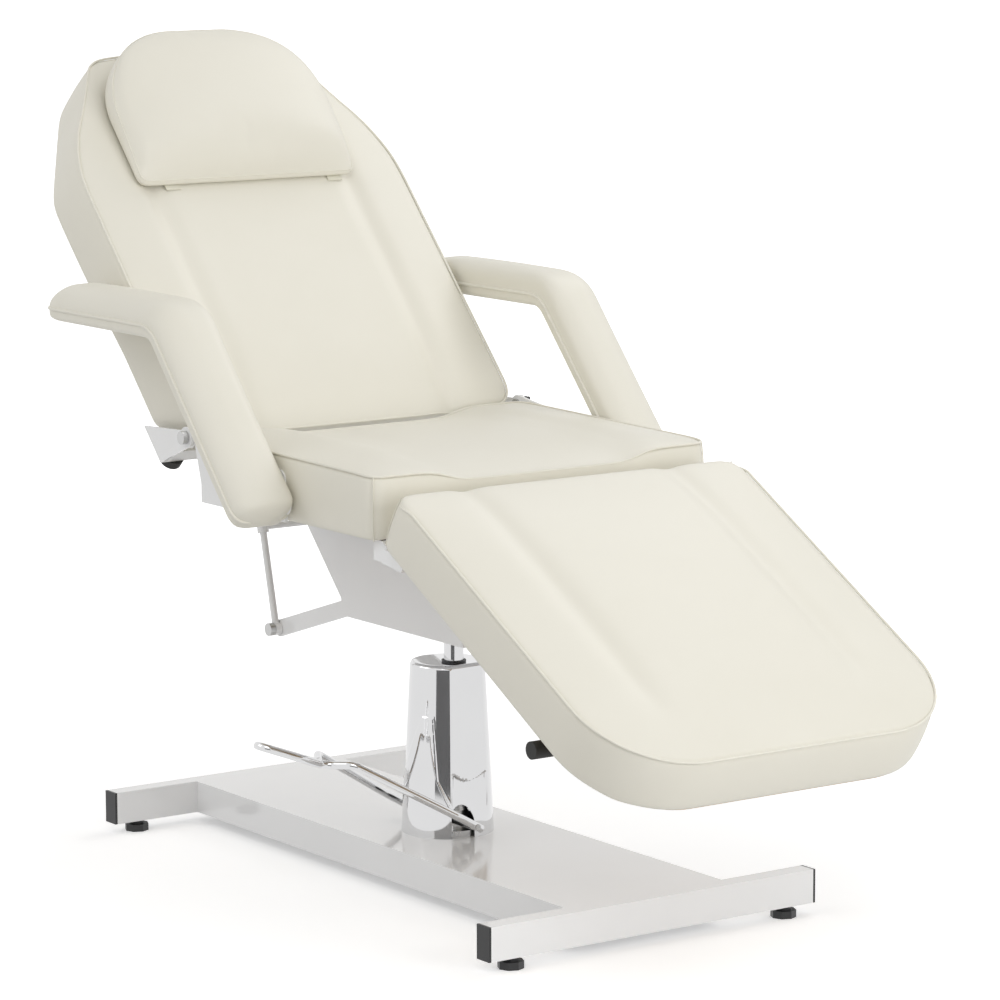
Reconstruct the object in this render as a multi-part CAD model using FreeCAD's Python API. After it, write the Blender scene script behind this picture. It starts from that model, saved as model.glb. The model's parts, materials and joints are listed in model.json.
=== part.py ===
import FreeCAD, Part
import math
import os

# Hydraulic beauty chair. Millimetres, +Z up, X across, +Y towards the head end.
# The origin is on the floor at the centre of the base. The backrest and the leg rest are modelled
# lying flat and then turned about their hinges into the pose of the photograph.

V = FreeCAD.Vector
ALONG_X = V(1, 0, 0)
ALONG_Y = V(0, 1, 0)
ALONG_Z = V(0, 0, 1)

# Fits
run_fit = 0.05
side_gap = 0.5
soft_gap = 0.3

# Base
tube_length = 572.4
tube_width = 30.0
tube_height = 50.0
tube_wall = 2.0
tube_spacing = 1024.0
plate_width = 280.0
plate_thickness = 3.0
cap_flange = 3.8
cap_plug = 18.0
foot_height = 16.9
foot_radius = 19.0
foot_sides = 8
foot_skirt = 11.0
foot_neck_radius = 11.0
foot_inset = 47.2
stud_radius = 5.0
stud_reach = 26.0

# Pump
pump_y = -5.0
piston_y = -22.0
flange_radius = 62.0
flange_thickness = 10.0
flange_bolt_circle = 50.0
flange_bolt_radius = 5.0
flange_bolt_head = 6.0
block_height = 28.0
cylinder_radius = 30.0
cylinder_bore = 21.0
cylinder_height = 205.0
gland_height = 40.0
cover_foot_radius = 69.5
cover_top_radius = 56.5
cover_height = 261.0
cover_wall = 2.0
cover_edge = 6.0
arch_width = 36.0
arch_height = 50.0
collar_radius = 18.5
collar_height = 3.0
piston_radius = 15.0
piston_bottom = 122.0

# Pedal
pedal_x = -17.0
pedal_height = 92.0
pedal_slope = 30.0
pedal_half_width = 98.0
pedal_tail = 10.0
pedal_straight = 30.0
pedal_knee = 185.0
pedal_knee_half = 50.0
pedal_knee_rise = 108.0
pedal_knee_bend = 20.0
pedal_neck = 209.0
pedal_neck_half = 9.0
pedal_neck_rise = 104.0
pedal_eye = 262.0
pedal_eye_half = 26.0
pedal_eye_rise = 124.0
pedal_reach = 317.0
pedal_tip_half = 12.0
pedal_tip_rise = 145.0
pedal_tip_bend = 13.0
pedal_bar_radius = 6.0
pedal_bend = 40.0
shaft_radius = 7.0
shaft_spigot = 4.0

# Seat and its frame
seat_half = 300.0
seat_front = -256.0
seat_rear = 222.0
seat_thickness = 95.0
seat_top = 665.0
seat_corner = 22.0
board_thickness = 12.0
board_inset = 15.0
rail_inner = 135.0
rail_width = 30.0
rail_height = 30.0
rail_front_inset = 26.0
rail_rear_inset = 22.0
cross_width = 20.0
frame_wall = 2.0
cheek_x = 102.0
cheek_thickness = 4.0
bracket_depth = 178.0
bracket_front_inset = 56.0
bracket_rear_inset = 98.0
bracket_top_front_inset = 28.0
bracket_top_rear_inset = 4.0
bracket_heel = 22.0
bracket_lip = 25.0
floor_thickness = 4.0
socket_radius = 30.0
socket_height = 58.0
socket_cap = 10.0
tail_width = 26.0

# Cushion forms
cushion_draw = 6.0
crown = 11.0
crown_shoulder = 45.0
crown_flat = 130.0
channel_radius = 34.0
channel_depth = 6.0
seam_drop = 11.0
seat_swell = 12.0
seat_dish = 15.0
back_dish = 9.0

# Back hinge
hinge_behind = 13.0
hinge_drop = 1.0
plate_gauge = 4.0
hinge_lobe = 16.0
hinge_bolt_radius = 6.0
nut_flat_radius = 10.0
nut_thickness = 9.0
knob_radius = 13.0
knob_depth = 12.0
knob_grip_radius = 3.0
knob_grips = 8
plate_bolt_radius = 5.0

# Backrest, lying flat
back_angle = 47.2
back_inset = 7.0
back_near_reach = 3.0
back_heel_reach = 87.0
back_far_reach = 730.0
back_rise = 18.0
back_thickness = 106.0
back_taper_reach = 405.0
back_shoulder_inset = 91.0
back_shoulder_reach = 690.0
back_crest_inset = 161.0
back_corner = 30.0
back_channel_inset = 113.0
back_rail_inner = 126.0
back_rail_width = 25.0
back_rail_reach = 565.0
back_tube = 25.0
back_tube_reach = 17.0
bumper_inset = 20.0
bumper_radius = 18.0
bumper_height = 14.0
batten_near_reach = 185.0
batten_length = 150.0
batten_width = 24.0
batten_inset = 30.0
batten_top_gap = 26.0

# Pillow
pillow_half = 198.0
pillow_near_reach = 457.0
pillow_height = 276.0
pillow_lift = 1.2
pillow_thickness = 66.0
pillow_near_corner = 24.0
pillow_far_corner = 178.0
pillow_draw = 16.0
strap_x = 150.0
strap_width = 26.0
strap_length = 46.0
strap_show = 8.0
strap_thickness = 2.0

# Telescopic back stays
stay_behind = 176.0
stay_drop = 51.0
stay_top_reach = 140.3
stay_top_drop = 3.3
stay_rod_radius = 5.5
stay_eye_radius = 10.0
stay_bolt_radius = 5.0
stay_rod_length = 203.0
sleeve_radius = 9.0
sleeve_start = 150.0
sleeve_head = 12.0
stay_bar_radius = 5.0
stay_pin_radius = 4.0
stay_window = 19.0
stay_lobe = 27.0

# Leg rest, lying flat
leg_angle = 29.4
leg_gap = 3.0
leg_length = 633.0
leg_thickness = 90.0
leg_near_corner = 20.0
leg_far_corner = 140.0
leg_channel_inset = 120.0
leg_hinge_ahead = 8.7
leg_hinge_drop = 20.8
lug_inset = 24.0
lug_radius = 11.0
leg_pin_radius = 5.0
leg_cross_near = 30.0
leg_rail_inner = 150.0
leg_rail_width = 30.0
leg_rail_height = 20.0
leg_rail_length = 470.0

# Leg gas spring
spring_behind = 30.0
spring_rise = 38.0
spring_top_reach = 152.0
spring_top_drop = 30.0
spring_eye_radius = 10.0
spring_eye_width = 14.0
spring_pin_radius = 5.0
spring_rod_radius = 5.0
spring_tube_radius = 11.0
spring_tube_length = 165.0
spring_stroke = 58.0
spring_lug_lobe = 21.0
spring_window = 13.0

# Leg release lever
lever_reach = 435.0
lever_drop = 26.5
lever_x = -60.0
lever_bar_radius = 5.0
lever_boss_radius = 12.0
lever_boss_height = 14.0
lever_pin_radius = 4.0
lever_post_radius = 9.0
lever_head = 4.0
grip_inset = 6.0
grip_length = 62.0
grip_radius = 12.5

# Armrests
arm_rear_reach = 247.0
arm_rise = 185.0
arm_bend_ahead = 56.0
arm_low_ahead = 277.0
arm_low_drop = 61.0
arm_over = 29.0
arm_under = -28.0
arm_bend_radius = 62.0
arm_width = 86.5
arm_inner_drop = 9.0
arm_outer_drop = 27.0
arm_quarter_drop = 6.0
arm_edge_draw = 3.0
arm_plate_over = 18.0
arm_plate_under = -24.0
arm_pivot_up = 35.0
arm_pin_radius = 6.0
arm_pin_head = 10.0
arm_pin_head_thickness = 3.0
guide_reach = 190.0
guide_rise = 182.0
guide_pin_radius = 5.0
guide_slot_inward = 24.0
guide_slot_outward = 30.0
guide_play = 1.0

# Worked out from the driving sizes
tube_low = foot_height
plate_top = tube_low + tube_height
tube_y = tube_spacing / 2
seat_low = seat_top - seat_thickness
rail_front = seat_front + rail_front_inset
rail_rear = seat_rear - rail_rear_inset
bracket_bottom = seat_low - bracket_depth
bracket_front = seat_front + bracket_front_inset
bracket_rear = seat_rear - bracket_rear_inset
bracket_top_front = seat_front + bracket_top_front_inset
bracket_top_rear = seat_rear - bracket_top_rear_inset
hinge_y = seat_rear + hinge_behind
hinge_z = seat_top - hinge_drop
leg_hinge_y = seat_front - leg_hinge_ahead
leg_hinge_z = seat_low - leg_hinge_drop
back_near = hinge_y + back_near_reach
back_heel = hinge_y + back_heel_reach
back_far = hinge_y + back_far_reach
back_face = hinge_z + back_rise
back_taper_y = hinge_y + back_taper_reach
back_shoulder_y = hinge_y + back_shoulder_reach
back_rail_far = hinge_y + back_rail_reach
back_tube_y = hinge_y + back_tube_reach
batten_near = hinge_y + batten_near_reach
batten_far = batten_near + batten_length
pillow_near = hinge_y + pillow_near_reach
pillow_far = pillow_near + pillow_height
stay_y = bracket_rear + stay_behind
stay_z = bracket_bottom - stay_drop
stay_top_y = hinge_y + stay_top_reach
stay_top_z = hinge_z - stay_top_drop
spring_y = bracket_front + spring_behind
spring_z = bracket_bottom + spring_rise
arm_rear_y = hinge_y + arm_rear_reach
arm_level = seat_top + arm_rise
arm_bend_y = hinge_y - arm_bend_ahead
arm_low_y = hinge_y - arm_low_ahead
arm_low_z = seat_top - arm_low_drop
guide_y = hinge_y + guide_reach
guide_z = hinge_z + guide_rise
lug_x = seat_half - lug_inset
hinge_plate_x = seat_half
back_half = seat_half - back_inset
back_shoulder_x = back_half - back_shoulder_inset
back_crest_x = back_half - back_crest_inset
back_channel_x = back_half - back_channel_inset
bumper_x = seat_half - bumper_inset
leg_channel_x = seat_half - leg_channel_inset
grip_end = grip_inset - seat_half
grip_start = grip_end + grip_length
seat_seam = seat_top - seam_drop + crown / 2 + seat_swell
seat_crest = seat_seam + seam_drop
ear_x = hinge_plate_x + plate_gauge + side_gap
arm_plate_x = ear_x + plate_gauge + 2 * side_gap
arm_pad_x = arm_plate_x + plate_gauge
back_low = back_face - back_thickness
leg_near = seat_front - leg_gap
leg_far = leg_near - leg_length
leg_low = seat_top - leg_thickness
cover_top = plate_top + cover_height
piston_top = bracket_bottom + socket_height - socket_cap - soft_gap
stay_angle = math.atan2(stay_top_z - stay_z, stay_top_y - stay_y)
stay_length = math.hypot(stay_top_y - stay_y, stay_top_z - stay_z)
stay_x = cheek_x + cheek_thickness + soft_gap + stay_rod_radius


def box(x0, x1, y0, y1, z0, z1):
    """A block between two corners."""
    return Part.makeBox(x1 - x0, y1 - y0, z1 - z0, V(x0, y0, z0))


def tube(x0, x1, y0, y1, z0, z1, lengthwise):
    """A square tube between two corners, open at both ends of its length."""
    grow_x = 0 if lengthwise == ALONG_X else frame_wall
    grow_y = 0 if lengthwise == ALONG_Y else frame_wall
    hollow = box(x0 + grow_x, x1 - grow_x, y0 + grow_y, y1 - grow_y, z0 + frame_wall, z1 - frame_wall)
    return box(x0, x1, y0, y1, z0, z1).cut(hollow)


def rod(start, end, radius):
    """A round bar between two points."""
    run = end.sub(start)
    return Part.makeCylinder(radius, run.Length, start, run)


def plate(points, x0, x1):
    """A flat plate with a side outline of (y, z) points, from x0 to x1."""
    wire = Part.makePolygon([V(x0, y, z) for y, z in points + points[:1]])
    return Part.Face(wire).extrude(V(x1 - x0, 0, 0))


def disc(y, z, radius, x0, x1):
    """A round plate or pin across the chair, from x0 to x1."""
    return Part.makeCylinder(radius, x1 - x0, V(x0, y, z), ALONG_X)


def mirrored(shape):
    """The same piece on the other side of the chair."""
    return shape.mirror(V(0, 0, 0), ALONG_X)


def pair(shape):
    """A piece and its twin on the other side, as one group."""
    return Part.makeCompound([shape, mirrored(shape)])


def line(a, b):
    """A straight edge."""
    return Part.LineSegment(a, b).toShape()


def arc(a, middle, b):
    """A round edge through three points."""
    return Part.Arc(a, middle, b).toShape()


def point_at(y, z, degrees, distance):
    """A (y, z) point at a distance from another, in a side view direction."""
    turn = math.radians(degrees)
    return (y + distance * math.cos(turn), z + distance * math.sin(turn))


def turned(shape, y, z, degrees):
    """A copy turned about a line across the chair."""
    moved = shape.copy()
    moved.rotate(V(0, y, z), ALONG_X, degrees)
    return moved


def back_pose(shape):
    """The flat backrest's piece, raised to the rest pose."""
    return turned(shape, hinge_y, hinge_z, back_angle)


def leg_pose(shape):
    """The flat leg rest's piece, lowered to the rest pose."""
    return turned(shape, leg_hinge_y, leg_hinge_z, leg_angle)


def corner(cx, cy, radius, first, z):
    """A quarter of a circle in plan, from the angle first, counted in degrees."""
    def at(degrees):
        turn = math.radians(degrees)
        return V(cx + radius * math.cos(turn), cy + radius * math.sin(turn), z)
    return arc(at(first), at(first + 45), at(first + 90))


def cushion_plan(half, low, high, low_corner, high_corner, inset, z):
    """A rectangle in plan with round corners, drawn in by inset all round."""
    x = half - inset
    y0 = low + inset
    y1 = high - inset
    r0 = max(low_corner - inset, low_corner / 4)
    r1 = max(high_corner - inset, high_corner / 4)
    edges = [
        line(V(-x + r0, y0, z), V(x - r0, y0, z)),
        corner(x - r0, y0 + r0, r0, -90, z),
        line(V(x, y0 + r0, z), V(x, y1 - r1, z)),
        corner(x - r1, y1 - r1, r1, 0, z),
        line(V(x - r1, y1, z), V(-x + r1, y1, z)),
        corner(-x + r1, y1 - r1, r1, 90, z),
        line(V(-x, y1 - r1, z), V(-x, y0 + r0, z)),
        corner(-x + r0, y0 + r0, r0, 180, z),
    ]
    return Part.Wire(edges)


def back_plan(inset, z):
    """The backrest in plan: straight sides, a long taper, round shoulders and a level top."""
    x = back_half - inset
    y0 = back_near + inset
    low = back_corner
    taper = V(x, back_taper_y, z)
    shoulder = V(back_shoulder_x - inset, back_shoulder_y - inset, z)
    crest = V(back_crest_x - inset / 2, back_far - inset, z)
    rise = shoulder.y - taper.y
    inward = taper.x - shoulder.x
    radius = (rise ** 2 + inward ** 2) / (2 * inward)
    half_turn = math.asin(rise / radius) / 2
    bow = V(x - radius * (1 - math.cos(half_turn)), taper.y + radius * math.sin(half_turn), z)
    knee = V((shoulder.x + crest.x) / 2 + back_corner / 4, (shoulder.y + crest.y) / 2 + back_corner / 4, z)

    def left(p):
        return V(-p.x, p.y, p.z)
    edges = [
        line(V(-x + low, y0, z), V(x - low, y0, z)),
        corner(x - low, y0 + low, low, -90, z),
        line(V(x, y0 + low, z), taper),
        arc(taper, bow, shoulder),
        arc(shoulder, knee, crest),
        line(crest, left(crest)),
        arc(left(crest), left(knee), left(shoulder)),
        arc(left(shoulder), left(bow), left(taper)),
        line(left(taper), V(-x, y0 + low, z)),
        corner(-x + low, y0 + low, low, 180, z),
    ]
    return Part.Wire(edges)


def cushion(plan, low, seam, top):
    """A pad with drawn-in sides below its seam and a crown above it."""
    middle = (low + seam) / 2
    sides = Part.makeLoft([plan(cushion_draw, low), plan(0, middle), plan(cushion_draw, seam)], True)
    rings = [
        plan(cushion_draw, seam),
        plan(crown_shoulder, seam + (top - seam) * 0.75),
        plan(crown_flat, top),
    ]
    return sides.fuse(Part.makeLoft(rings, True))


def channel(x, y0, y1, top):
    """The round bar that presses a sewn channel into a pad's top."""
    height = top + channel_radius - channel_depth
    return rod(V(x, y0, height), V(x, y1, height), channel_radius)


def dish(half, depth, y0, y1, top):
    """The wide round bar that hollows a pad's middle between its channels."""
    radius = (half ** 2 + depth ** 2) / (2 * depth)
    height = top + radius - depth
    return rod(V(0, y0, height), V(0, y1, height), radius)


def seat_plan(inset, z):
    """The seat in plan."""
    return cushion_plan(seat_half, seat_front, seat_rear, seat_corner, seat_corner, inset, z)


def leg_plan(inset, z):
    """The leg rest in plan, with its large round corners at the foot end."""
    return cushion_plan(seat_half, leg_far, leg_near, leg_far_corner, leg_near_corner, inset, z)


def pillow_plan(inset, z):
    """The pillow in plan: straight along the bottom, round over the top."""
    return cushion_plan(
        pillow_half, pillow_near, pillow_far, pillow_near_corner, pillow_far_corner, inset, z)


def slab(plan, inset, z0, z1):
    """A flat board in a cushion's plan shape."""
    return Part.Face(plan(inset, z0)).extrude(V(0, 0, z1 - z0))


def make_base():
    """Cross tubes, plate, caps and feet."""
    half = tube_length / 2
    solid = box(-half, half, -tube_width / 2, tube_width / 2, tube_low, plate_top)
    hollow = box(
        -half, half,
        tube_wall - tube_width / 2, tube_width / 2 - tube_wall,
        tube_low + tube_wall, plate_top - tube_wall)
    foot_x = half + cap_flange - foot_inset
    beam = solid.cut(hollow)
    for x in (-foot_x, foot_x):
        beam = beam.cut(rod(V(x, 0, tube_low), V(x, 0, tube_low + tube_wall), stud_radius + run_fit))
    nodes = {}
    tubes = []
    caps = []
    for name, y in (("front", -tube_y), ("rear", tube_y)):
        tubes.append(beam.translated(V(0, y, 0)))
        for side, sign in (("left", -1), ("right", 1)):
            flange = box(0, cap_flange, -tube_width / 2, tube_width / 2, tube_low, plate_top)
            plug = box(
                -cap_plug, 0,
                tube_wall - tube_width / 2, tube_width / 2 - tube_wall,
                tube_low + tube_wall, plate_top - tube_wall)
            cap = flange.fuse(plug).translated(V(half, y, 0))
            caps.append(cap if sign > 0 else mirrored(cap))
            nodes["foot_%s_%s" % (name, side)] = make_foot().translated(V(sign * foot_x, y, 0))
    inner = tube_y - tube_width / 2
    half_plate = plate_width / 2
    nodes["base_top_plate"] = box(
        -half_plate, half_plate, -inner, inner, plate_top - plate_thickness, plate_top)
    nodes["base_side_webs"] = pair(box(
        half_plate - plate_thickness, half_plate, -inner, inner, tube_low, plate_top - plate_thickness))
    nodes["base_cross_tubes"] = Part.makeCompound(tubes)
    nodes["base_end_caps"] = Part.makeCompound(caps)
    return nodes


def make_foot():
    """A screw foot: an eight-sided skirt, a neck and a stud."""
    corners = []
    for k in range(foot_sides + 1):
        turn = 2 * math.pi * k / foot_sides
        corners.append(V(foot_radius * math.cos(turn), foot_radius * math.sin(turn), 0))
    skirt = Part.Face(Part.makePolygon(corners)).extrude(V(0, 0, foot_skirt))
    neck = Part.makeCylinder(foot_neck_radius, foot_height - soft_gap - foot_skirt, V(0, 0, foot_skirt))
    stud = Part.makeCylinder(stud_radius, stud_reach, V(0, 0, foot_height - soft_gap))
    return skirt.fuse([neck, stud])


def make_pump():
    """Flange, valve block, cylinder, gland, cover and collar."""
    nodes = {}
    flange_top = plate_top + flange_thickness
    block_top = flange_top + block_height
    cylinder_top = block_top + cylinder_height
    flange = Part.makeCylinder(flange_radius, flange_thickness, V(0, pump_y, plate_top))
    bolts = []
    for k in range(4):
        turn = math.radians(45 + 90 * k)
        x = flange_bolt_circle * math.cos(turn)
        y = pump_y + flange_bolt_circle * math.sin(turn)
        bolts.append(Part.makeCylinder(flange_bolt_radius, flange_bolt_head, V(x, y, flange_top)))
    nodes["flange_bolts"] = Part.makeCompound(bolts)
    block = Part.makeCylinder(
        flange_bolt_circle - flange_bolt_radius - side_gap, block_height, V(0, pump_y, flange_top))
    tunnel = rod(
        V(pedal_x, pump_y - flange_radius, pedal_height), V(pedal_x, pump_y + flange_radius, pedal_height),
        shaft_radius + run_fit)
    nodes["pump_block"] = block.fuse(flange).cut(tunnel)
    barrel = Part.makeCylinder(cylinder_radius, cylinder_height, V(0, piston_y, block_top))
    bore = Part.makeCylinder(cylinder_bore, cylinder_height, V(0, piston_y, block_top))
    gland = Part.makeCylinder(cylinder_bore, gland_height, V(0, piston_y, cylinder_top - gland_height))
    passage = Part.makeCylinder(
        piston_radius + run_fit, cover_height, V(0, piston_y, plate_top + flange_thickness))
    nodes["pump_cylinder"] = barrel.cut(bore).fuse(gland).cut(passage)
    outer = Part.makeCone(cover_foot_radius, cover_top_radius, cover_height, V(0, pump_y, plate_top))
    rim = [e for e in outer.Edges if abs(e.BoundBox.ZMin - cover_top) < run_fit]
    outer = outer.makeFillet(cover_edge, rim)
    inner = Part.makeCone(
        cover_foot_radius - cover_wall, cover_top_radius - cover_wall,
        cover_height - cover_wall, V(0, pump_y, plate_top))
    span = 2 * cover_foot_radius
    arch_spring = plate_top + arch_height - arch_width / 2
    door = box(
        pedal_x - arch_width / 2, pedal_x + arch_width / 2,
        pump_y - span, pump_y + span, plate_top, arch_spring)
    door = door.fuse(rod(
        V(pedal_x, pump_y - span, arch_spring), V(pedal_x, pump_y + span, arch_spring), arch_width / 2))
    hole = Part.makeCylinder(
        piston_radius + side_gap, cover_height, V(0, piston_y, plate_top + cover_height / 2))
    nodes["pump_cover"] = outer.cut(inner).cut(door).cut(hole)
    ring = Part.makeCylinder(collar_radius, collar_height, V(0, piston_y, cover_top))
    nodes["cover_collar"] = ring.cut(passage.fuse(hole.translated(V(0, 0, cover_height / 2))))
    return nodes


def make_pedal():
    """The shaft through the pump and the forked bar with its foot loop."""
    y0 = pump_y - pedal_half_width
    y1 = pump_y + pedal_half_width
    shoulder = pedal_bar_radius + side_gap
    shaft = rod(V(pedal_x, y0 + shoulder, pedal_height), V(pedal_x, y1 - shoulder, pedal_height), shaft_radius)
    spigot_end = pedal_bar_radius + 2 * side_gap
    spigot = rod(
        V(pedal_x, y0 - spigot_end, pedal_height), V(pedal_x, y1 + spigot_end, pedal_height), shaft_spigot)
    steepness = math.tan(math.radians(pedal_slope))
    near_side = [
        V(pedal_tail, -pedal_half_width, -pedal_tail * steepness),
        V(-pedal_straight, -pedal_half_width, pedal_straight * steepness),
        V(-pedal_knee, -pedal_knee_half, pedal_knee_rise),
        V(-pedal_neck, -pedal_neck_half, pedal_neck_rise),
        V(-pedal_eye, -pedal_eye_half, pedal_eye_rise),
        V(-pedal_reach, -pedal_tip_half, pedal_tip_rise),
    ]
    corners = near_side + [V(p.x, -p.y, p.z) for p in reversed(near_side)]
    bends = [pedal_bend, pedal_knee_bend, pedal_knee_bend, pedal_bend, pedal_tip_bend]
    radii = bends + bends[::-1]
    path = rounded_path(corners, radii)
    section = Part.Wire(Part.makeCircle(pedal_bar_radius, corners[0], corners[1].sub(corners[0])))
    bar = path.makePipeShell([section], True, False)
    bar = bar.translated(V(pedal_x, pump_y, pedal_height))
    eye = rod(
        V(pedal_x, y0 - pedal_half_width, pedal_height), V(pedal_x, y1 + pedal_half_width, pedal_height),
        shaft_spigot + run_fit)
    return {"pedal_fork": bar.cut(eye), "pedal_shaft": shaft.fuse(spigot)}


def rounded_path(points, radii):
    """Straight runs joined by arcs that touch both runs at each inner corner."""
    edges = []
    last = points[0]
    for before, point, after, radius in zip(points, points[1:], points[2:], radii):
        back = before.sub(point).normalize()
        ahead = after.sub(point).normalize()
        half = back.getAngle(ahead) / 2
        reach = radius / math.tan(half)
        start = point + back * reach
        end = point + ahead * reach
        middle = point + (back + ahead).normalize() * (radius / math.sin(half) - radius)
        edges.append(line(last, start))
        edges.append(arc(start, middle, end))
        last = end
    edges.append(line(last, points[-1]))
    return Part.Wire(edges)


def make_column():
    """The piston rod, which rises out of the pump and turns in the socket."""
    return {"piston_rod": Part.makeCylinder(
        piston_radius, piston_top - piston_bottom, V(0, piston_y, piston_bottom))}


def make_seat_frame():
    """Socket, bracket, rails, cross bars, lugs and stay bolts under the seat."""
    nodes = {}
    socket = Part.makeCylinder(socket_radius, socket_height, V(0, piston_y, bracket_bottom))
    bore = Part.makeCylinder(
        piston_radius + run_fit, socket_height - socket_cap, V(0, piston_y, bracket_bottom))
    nodes["column_socket"] = socket.cut(bore)
    edge = cheek_x + cheek_thickness
    floor = box(
        -edge, edge, bracket_front, bracket_rear, bracket_bottom - floor_thickness, bracket_bottom)
    floor = floor.cut(Part.makeCylinder(
        piston_radius + side_gap, floor_thickness, V(0, piston_y, bracket_bottom - floor_thickness)))
    frame_low = seat_low - rail_height
    cheek = plate([
        (bracket_top_rear, frame_low),
        (bracket_top_rear, frame_low - bracket_lip),
        (bracket_rear, bracket_bottom + bracket_heel),
        (bracket_rear, bracket_bottom),
        (bracket_front, bracket_bottom),
        (bracket_top_front, frame_low),
    ], cheek_x, edge)
    root_y = bracket_rear - tail_width
    root_z = bracket_bottom + tail_width / 2
    run = math.hypot(stay_y - root_y, stay_z - root_z)
    slope = math.degrees(math.atan2(stay_z - root_z, stay_y - root_y))
    tail = turned(
        box(cheek_x, edge, root_y, root_y + run, root_z - tail_width / 2, root_z + tail_width / 2),
        root_y, root_z, slope)
    tail = tail.fuse(disc(stay_y, stay_z, tail_width / 2, cheek_x, edge))
    cheek = cheek.fuse(tail)
    cheek = cheek.cut(disc(stay_y, stay_z, stay_bolt_radius + run_fit, cheek_x, edge))
    cheek = cheek.cut(disc(spring_y, spring_z, spring_pin_radius + run_fit, cheek_x, edge))
    nodes["bracket_cheeks"] = pair(cheek)
    nodes["bracket_floor"] = floor.cut(nodes["bracket_cheeks"])
    rail_outer = rail_inner + rail_width
    rail = tube(rail_inner, rail_outer, rail_front, rail_rear, frame_low, seat_low, ALONG_Y)
    nodes["seat_rails"] = pair(rail)
    front_bar = tube(
        -lug_x, lug_x, rail_front - cross_width, rail_front, seat_low - cross_width, seat_low, ALONG_X)
    rear_bar = tube(-rail_outer, rail_outer, rail_rear, rail_rear + cross_width, frame_low, seat_low, ALONG_X)
    middle_bar = tube(
        -rail_inner, rail_inner, piston_y - cross_width / 2, piston_y + cross_width / 2,
        frame_low, seat_low, ALONG_X)
    nodes["seat_cross_bars"] = Part.makeCompound([front_bar, middle_bar, rear_bar])
    lug_back = rail_front
    lug_front = rail_front - cross_width
    lug = plate([
        (lug_back, frame_low),
        (lug_back, seat_low),
        (lug_front, seat_low),
        (leg_hinge_y, leg_hinge_z + lug_radius),
        (leg_hinge_y, leg_hinge_z - lug_radius),
        (lug_front, frame_low),
    ], lug_x, lug_x + plate_gauge)
    lug = lug.fuse(disc(leg_hinge_y, leg_hinge_z, lug_radius, lug_x, lug_x + plate_gauge))
    lug = lug.cut(disc(leg_hinge_y, leg_hinge_z, leg_pin_radius + run_fit, lug_x, lug_x + plate_gauge))
    nodes["leg_hinge_lugs"] = pair(lug)
    shank = disc(stay_y, stay_z, stay_bolt_radius, cheek_x - nut_thickness, stay_x + stay_rod_radius + side_gap)
    head_x = stay_x + stay_rod_radius + side_gap
    head = disc(stay_y, stay_z, nut_flat_radius, head_x, head_x + nut_thickness)
    nut = disc(stay_y, stay_z, nut_flat_radius, cheek_x - nut_thickness, cheek_x)
    nodes["stay_bolts"] = pair(shank.fuse([head, nut]))
    nodes["spring_cross_pin"] = disc(spring_y, spring_z, spring_pin_radius, -edge, edge)
    return nodes


def make_seat():
    """Seat board and seat cushion, with the passages for the hinge plates' bolts."""
    board_top = seat_low + board_thickness
    board = slab(seat_plan, board_inset, seat_low, board_top)
    pad = cushion(seat_plan, seat_low, seat_seam, seat_crest)
    pad = pad.cut(slab(seat_plan, board_inset - soft_gap, seat_low, board_top + soft_gap))
    for y, z in plate_bolt_places():
        pad = pad.cut(disc(y, z, plate_bolt_radius + soft_gap, -seat_half, seat_half))
    for x in (-leg_channel_x, leg_channel_x):
        pad = pad.cut(channel(x, seat_front - crown, seat_rear - crown_flat, seat_crest))
    pad = pad.cut(dish(leg_channel_x, seat_dish, seat_front - crown, seat_rear + crown, seat_crest))
    return {"seat_board": board, "seat_pad": pad}


def plate_bolt_places():
    """Where each hinge plate is bolted to the seat board's edge."""
    z = seat_low + board_thickness / 2
    return [(arm_pivot()[0] + board_inset, z), (rail_rear - board_inset, z)]


def arm_pivot():
    """The armrest's pivot, on the middle line of its lower limb."""
    slope = math.degrees(math.atan2(arm_level - arm_low_z, arm_bend_y - arm_low_y))
    return point_at(arm_low_y, arm_low_z, slope, arm_pivot_up)


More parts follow.
